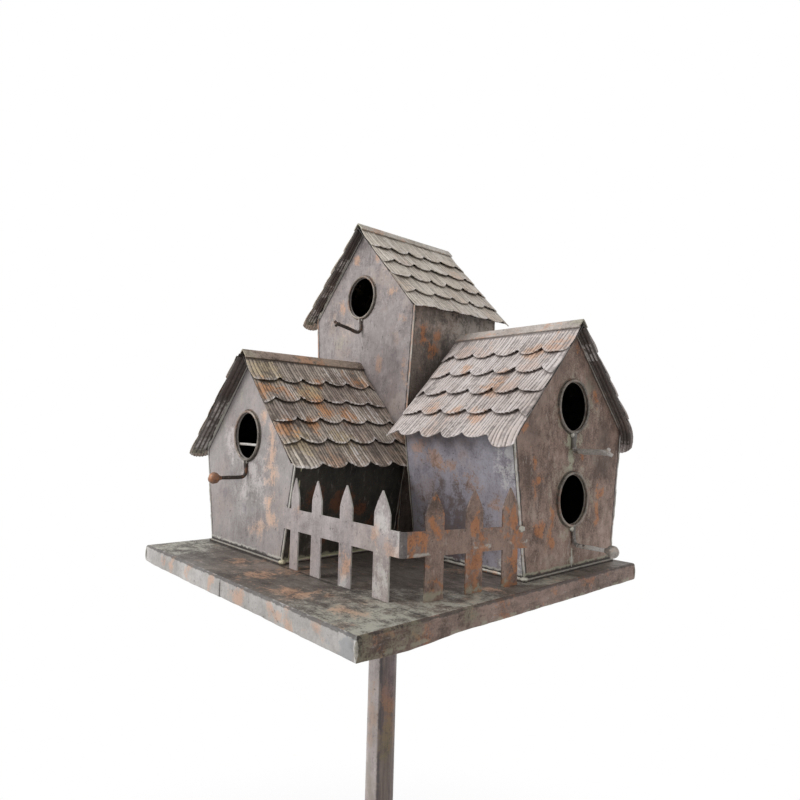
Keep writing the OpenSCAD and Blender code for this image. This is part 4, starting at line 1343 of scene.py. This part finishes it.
def tinned_wire_finish():
    """Pale wire, dark where it bends under the twin house's rings."""
    finish = rough_finish("tinned wire", shade(252, 250, 246), shade(176, 169, 163), contrast=1.3)
    for entrance in (UPPER_ENTRANCE, LOWER_ENTRANCE):
        bend = TWIN.at(0, 0, entrance.height - HOLE_RADIUS - 7 * MM)
        finish.stain(bend, mm(16, 16, 20), DARK_SEAM_AND_SHADOW, 0.75)
    return finish.rust(0.34, 90, RUST_DEEP, 0.5)


ring_material = rough_finish("ring wire", shade(176, 168, 158), shade(84, 76, 70)).rust(
    0.4, 60, RUST_DEEP, 0.5).done(bump=0.5, metallic=0.3)
wire_material = rough_finish("perch wire", shade(90, 79, 72), shade(38, 33, 30)).rust(
    0.42, 60, RUST_DEEP, 0.6).done(bump=0.5, metallic=0.3, smooth=0.35, rough=0.6)
tinned_material = tinned_wire_finish().done(bump=0.5, metallic=0.1, smooth=0.3, rough=0.55)
solder_material = rough_finish("solder", shade(224, 221, 212), shade(136, 130, 118), warm=SOLDER_GREEN).rust(
    0.34, 90, RUST_PALE, 0.5).done(bump=0.5, metallic=0.3, smooth=0.4, rough=0.6)
ring_solder_material = rough_finish("ring solder", shade(112, 103, 90), shade(54, 48, 42)).rust(
    0.4, 60, RUST_DEEP, 0.5).done(bump=0.5)
foot_solder_material = rough_finish("foot solder", shade(222, 222, 184), shade(160, 157, 124)).done(
    bump=0.5, metallic=0.2)
ball_material = rough_finish("rusty ball", shade(176, 138, 116), shade(96, 70, 58)).rust(0.46, 120).done(
    bump=0.6)
grey_ball_material = rough_finish("grey ball", shade(186, 180, 172), shade(92, 84, 77)).rust(0.3, 120).done(
    bump=0.5, metallic=0.35, smooth=0.35, rough=0.5)


def entrance_ring(entrance):
    """The wire ring around an entrance, bent by hand."""
    house = entrance.house
    node = f"{house.name}_{entrance.ring}"
    path, radii = [], []
    for step in range(RING_STEPS):
        angle = 2 * math.pi * step / RING_STEPS
        turn = Vector((math.cos(angle), math.sin(angle), entrance.seed))
        radius = HOLE_RADIUS + WIRE_RADIUS + 0.35 * MM * noise.noise(turn * 1.3)
        path.append(house.at(radius * turn.x, -WIRE_STAND_OFF, entrance.height + radius * turn.y))
        radii.append(WIRE_RADIUS * (0.85 + 0.15 * noise.noise(turn * 4)))
    basket = Basket()
    basket.tube(path, radii, closed=True)
    basket.piece(f"{node}_wire", [ring_material], [node])


# Prongs of a perch that has lost its ball: sideways, up and length
PRONGS = ((-0.5, 0.75, 4.2 * MM), (0.45, -0.5, 4.8 * MM), (0.1, 0.1, 2.4 * MM))


def perch(entrance, name, reach, sway, material, thick, rise=0.0, broken=False):
    """Wire that drops from the ring, bends and runs out, with an optional broken end; sizes in mm."""
    house = entrance.house
    reach, sway, rise = reach * MM, sway * MM, rise * MM
    ring_foot = entrance.height - HOLE_RADIUS - 2 * WIRE_RADIUS
    top, rod, wall = ring_foot + 0.6 * MM, ring_foot - PERCH_DROP, -WIRE_STAND_OFF
    end = Vector((0, -reach, rod + rise))
    corners = [(0, wall, top), (sway * 0.3, wall, top - 4 * MM), (sway, wall - 0.2 * MM, rod + 5.5 * MM),
               (sway * 0.7, wall - 1.2 * MM, rod + 1.4 * MM), (sway * 0.3, wall - 5 * MM, rod),
               (0, -reach * 0.55, rod + rise * 0.5), end]
    path = [house.at(*corner) for corner in smooth_path(corners, 7)]
    basket = Basket()
    basket.tube(path, [WIRE_RADIUS * thick * (1 + 0.18 * noise.noise(point / (4 * MM))) for point in path])
    for side, up, length in PRONGS if broken else ():
        tip = end + Vector((side, -0.75, up)).normalized() * length
        prong = [house.at(*point) for point in smooth_path([end + mm(0, 2, 0), end, tip], 5)]
        shares = [number / len(prong) for number in range(len(prong))]
        basket.tube(prong, [WIRE_RADIUS * thick * (1.15 - 0.45 * share) for share in shares])
    basket.piece(f"{house.name}_{name}_wire", [material], [f"{house.name}_{name}"])


# The collar of a ball: shares of its radius from the middle, and the collar's own radius in mm
COLLAR = ((0.6, 2.6), (0.9, 2.4), (1.2, 1.9), (1.4, 1.35))


def perch_ball(house, material, seed):
    """A cast ball on the perch's end, with a collar where the wire goes in."""
    node = f"{house.name}_perch_ball"
    low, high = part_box(node)
    centre, radius = (low + high) / 2, (high.z - low.z) / 2
    inward = house.turned(0, 1, 0)
    basket = Basket()
    basket.blob(centre, (radius, radius, radius), seed, 0.09, 4)
    basket.tube([centre + inward * radius * share for share, _ in COLLAR], [size * MM for _, size in COLLAR])
    basket.piece(f"{house.name}_cast_ball", [material], [node])


# The pale bar that shows inside the low house's entrance
BAR_DROP = 7.8 * MM
BAR_HALF = 25 * MM
BAR_BACK = 2.7 * MM
BAR_RADIUS = 1.2 * MM


def inner_bar():
    """A short wire behind the low house's front wall."""
    height = LOW_ENTRANCE.height - BAR_DROP
    path = stretch(LOW.at(-BAR_HALF, BAR_BACK, height), LOW.at(BAR_HALF, BAR_BACK, height), 5 * MM)
    basket = Basket()
    basket.tube(path, [BAR_RADIUS] * len(path))
    basket.piece("low_house_inner_bar", [tinned_material])


for entrance in ENTRANCES:
    entrance_ring(entrance)
perch(LOW_ENTRANCE, "perch", 29.5, 1.6, wire_material, 1.2)
perch(TALL_ENTRANCE, "perch", 29.5, 1.0, wire_material, 1.35, 5, broken=True)
perch(UPPER_ENTRANCE, "upper_perch", 29.5, -1.2, tinned_material, 1.6, broken=True)
perch(LOWER_ENTRANCE, "lower_perch", 35, 1.0, tinned_material, 1.25)
inner_bar()
perch_ball(LOW, ball_material, 1.0)
perch_ball(TWIN, grey_ball_material, 2.0)

# Solder: broken beads and drops; widths and heights in mm
GAP_LENGTH = 9 * MM
SHORTEST_RUN = 4


def broken_bead(basket, start, end, out, width, height, seed, whole=0.1):
    """A run of solder with gaps in it: only the stretches where the seam took."""
    run = []
    for point in stretch(start, end) + [None]:
        if point is not None and noise.noise(point / GAP_LENGTH + Vector((seed, 0, 0))) > -whole:
            run.append(point)
            continue
        if len(run) >= SHORTEST_RUN:
            basket.bead(run, out, width * MM, height * MM, seed)
        run = []


def upright_beads(basket, house, seed):
    """Solder along a house's upright corners, front and back."""
    for side in (-1, 1):
        for back, face in ((0, -0.7), (house.depth, 0.7)):
            start = house.at(side * house.half_foot, back, house.foot)
            end = house.at(side * house.half_eave, back, house.eave)
            out = house.turned(side * 0.7, face, 0)
            broken_bead(basket, start, end, out, 1.3, 0.35, seed + side * 0.3 + back)


def rake_bead(basket, house, seed):
    """Solder in the corner between a gable and the roof that turns away."""
    side = house.far_side
    start, end = house.at(side * house.half_eave, 0, house.eave), house.at(0, 0, house.peak)
    broken_bead(basket, start, end, house.turned(-side * 0.4, -0.8, -0.4), 1.6, 0.6, seed, 0.35)


def foot_bead(basket, house, side, seed):
    """Solder along a side wall's foot, on the floor plate."""
    start = house.at(side * house.half_foot, 2 * MM, house.foot)
    end = house.at(side * house.half_foot, house.depth - 2 * MM, house.foot)
    broken_bead(basket, start, end, house.turned(side * 0.7, 0, 0.7), 2.0, 0.8, seed, 0.3)


def tray_corner_bead(basket, x, y):
    """Solder down one corner of the tray's rim."""
    edge = Vector((x * TRAY_HALF, y * TRAY_HALF, TRAY_TOP))
    end = edge - Vector((0, 0, RIM_DROP - 1.5 * MM))
    broken_bead(basket, edge - mm(0, 0, 1.6), end, (x, y, 0), 2.2, 0.5, 3.0 * x + y, 0.8)


def pale_solder():
    """Solder on the houses' corners, feet and entrances and on the tray's corners."""
    basket = Basket()
    for house, seed in ((LOW, 1.0), (TALL, 2.0), (TWIN, 3.0)):
        upright_beads(basket, house, seed)
        rake_bead(basket, house, seed + 0.5)
    for house, side, seed in ((TWIN, -1, 6.0), (TWIN, 1, 6.5), (LOW, -1, 7.5)):
        foot_bead(basket, house, side, seed)
    basket.blob(TWIN.at(-TWIN.half_foot, 0, TWIN.foot), TWIN.sized(3.0, 2.6, 1.6), 8.0)
    rail = over_tray(39)
    basket.blob(TWIN.at(-TWIN.half_width(rail), -1 * MM, rail), TWIN.sized(3.4, 1.6, 2.4), 8.6)
    under_perch = TWIN.at(0, 0, LOWER_ENTRANCE.height - 35 * MM)
    over_foot = TWIN.at(0.5 * MM, 0, TWIN.foot + 1 * MM)
    broken_bead(basket, under_perch, over_foot, TWIN.turned(0, -1, 0), 3.0, 0.4, 9.0, 0.4)
    for x, y in ((1, -1), (-1, -1), (1, 1), (-1, 1)):
        tray_corner_bead(basket, x, y)
    for house, _, height, seed in ENTRANCES:
        drop = house.at(-1 * MM, -1 * MM, height - HOLE_RADIUS - 3.4 * MM)
        basket.blob(drop, house.sized(3.2, 1.6, 2.2), 2 + seed / 10)
    basket.piece("solder_runs", [solder_material])


def ring_solder():
    """The low bank of solder outside each entrance ring."""
    basket = Basket()
    radius = HOLE_RADIUS + 2 * WIRE_RADIUS
    angles = [2 * math.pi * step / RING_STEPS - math.pi / 2 for step in range(RING_STEPS + 1)]
    for house, _, height, seed in ENTRANCES:
        path = [house.at(radius * math.cos(angle), 0, height + radius * math.sin(angle)) for angle in angles]
        basket.bead(path, house.turned(0, -1, 0), 1.8 * MM, 0.5 * MM, seed + 0.5)
    basket.piece("ring_solder", [ring_solder_material])


def foot_solder():
    """The green solder at the low house's right wall."""
    basket = Basket()
    foot_bead(basket, LOW, 1, 5.0)
    basket.blob(LOW.at(LOW.half_foot + 1 * MM, 0, LOW.foot), mm(3.4, 2.6, 2.0), 7.0)
    start, end = LOW.at(LOW.half_foot, 6 * MM, LOW.foot), LOW.at(LOW.half_eave, 6 * MM, LOW.eave)
    broken_bead(basket, start, end, LOW.turned(1, 0, 0), 1.3, 0.5, 5.6, 0.35)
    basket.piece("foot_solder", [foot_solder_material])


pale_solder()
ring_solder()
foot_solder()

# Stage, light and camera
CAMERA_PLACE = (0.4003, -0.3509, 1.1089)
CAMERA_AZIMUTH = math.radians(47.82)
CAMERA_PITCH = math.radians(2.67)
CAMERA_ROLL = math.radians(1.55)
CAMERA_LENS = 27.33
CAMERA_NEAR = 0.01
FLOOR_RADIUS = 6.0
FLOOR_SIDES = 96
FLOOR_SINK = 0.1 * MM
FLOOR_GREYS = ((0.84, 0.84, 0.84, 1), (0.88, 0.88, 0.88, 1))
FLOOR_GRAIN = (30, 3, 0.5)
FLOOR_GLOW = 0.6
SHADOW_FROM, SHADOW_TO = 0.5, 1.6
SKY_STRENGTH = 0.42
LAMP_TARGET = Vector((0, 0, 1.1))
LAMP_SIZE = 1.0


def seen_rays(bench):
    """1 where the eye looks, straight, by reflection or through glass, and 0 for light on the object."""
    rays = bench.node("ShaderNodeLightPath").outputs
    seen = bench.math("MAXIMUM", rays["Is Camera Ray"], rays["Is Glossy Ray"])
    return bench.math("MAXIMUM", seen, rays["Is Transmission Ray"])


def white_floor():
    """A pale floor: white to the eye further out, with the object's soft shadow near the pole."""
    work = bmesh.new()
    bmesh.ops.create_circle(work, cap_ends=True, segments=FLOOR_SIDES, radius=FLOOR_RADIUS)
    mesh = bpy.data.meshes.new("studio_floor")
    work.to_mesh(mesh)
    work.free()
    made = put("studio_floor", mesh)
    made.location.z = -FLOOR_SINK
    material = bpy.data.materials.new("studio floor")
    material.use_nodes = True
    nodes = material.node_tree.nodes
    nodes.remove(nodes["Principled BSDF"])
    bench = Bench(material.node_tree)
    place = bench.node("ShaderNodeTexCoord").outputs["Object"]
    far = bench.step(bench.vector("LENGTH", place, place), SHADOW_FROM, SHADOW_TO, FLOOR_GLOW, 1.0)
    paint = bench.node("ShaderNodeBsdfDiffuse")
    grain = bench.noise(place, *FLOOR_GRAIN)
    bench.feed(paint.inputs["Color"], bench.mix(grain, *FLOOR_GREYS))
    glow = bench.node("ShaderNodeEmission")
    both = bench.node("ShaderNodeMixShader")
    for socket, value in zip(both.inputs, (bench.math("MULTIPLY", seen_rays(bench), far),
                                           paint.outputs[0], glow.outputs[0])):
        bench.feed(socket, value)
    bench.feed(nodes["Material Output"].inputs["Surface"], both.outputs[0])
    mesh.materials.append(material)


def white_sky():
    """A world that is white to the eye and lights the object softly."""
    world = bpy.data.worlds.new("studio sky")
    world.use_nodes = True
    bench = Bench(world.node_tree)
    background = world.node_tree.nodes["Background"]
    background.inputs["Color"].default_value = (1, 1, 1, 1)
    bench.feed(background.inputs["Strength"], bench.step(seen_rays(bench), 0.0, 1.0, SKY_STRENGTH, 1.0))
    bpy.context.scene.world = world


def soft_lamp(name, place, power):
    """A square softbox that faces the houses."""
    data = bpy.data.lights.new(name, "AREA")
    data.size = LAMP_SIZE
    data.energy = power
    lamp = put(name, data)
    lamp.location = place
    lamp.rotation_euler = (LAMP_TARGET - Vector(place)).to_track_quat("-Z", "Y").to_euler()


def photo_camera():
    """A camera at the photograph's viewing angle."""
    data = bpy.data.cameras.new("camera")
    data.lens = CAMERA_LENS
    data.clip_start = CAMERA_NEAR
    camera = put("camera", data)
    turn = Matrix.Rotation(CAMERA_AZIMUTH, 4, "Z") @ Matrix.Rotation(math.pi / 2 + CAMERA_PITCH, 4, "X")
    camera.matrix_world = Matrix.Translation(CAMERA_PLACE) @ turn @ Matrix.Rotation(CAMERA_ROLL, 4, "Z")
    bpy.context.scene.camera = camera


white_floor()
white_sky()
soft_lamp("key softbox", (-0.7, -1.5, 2.1), 21)
soft_lamp("side softbox", (1.7, -0.1, 1.9), 2)
photo_camera()
bpy.context.scene.view_settings.view_transform = "Standard"
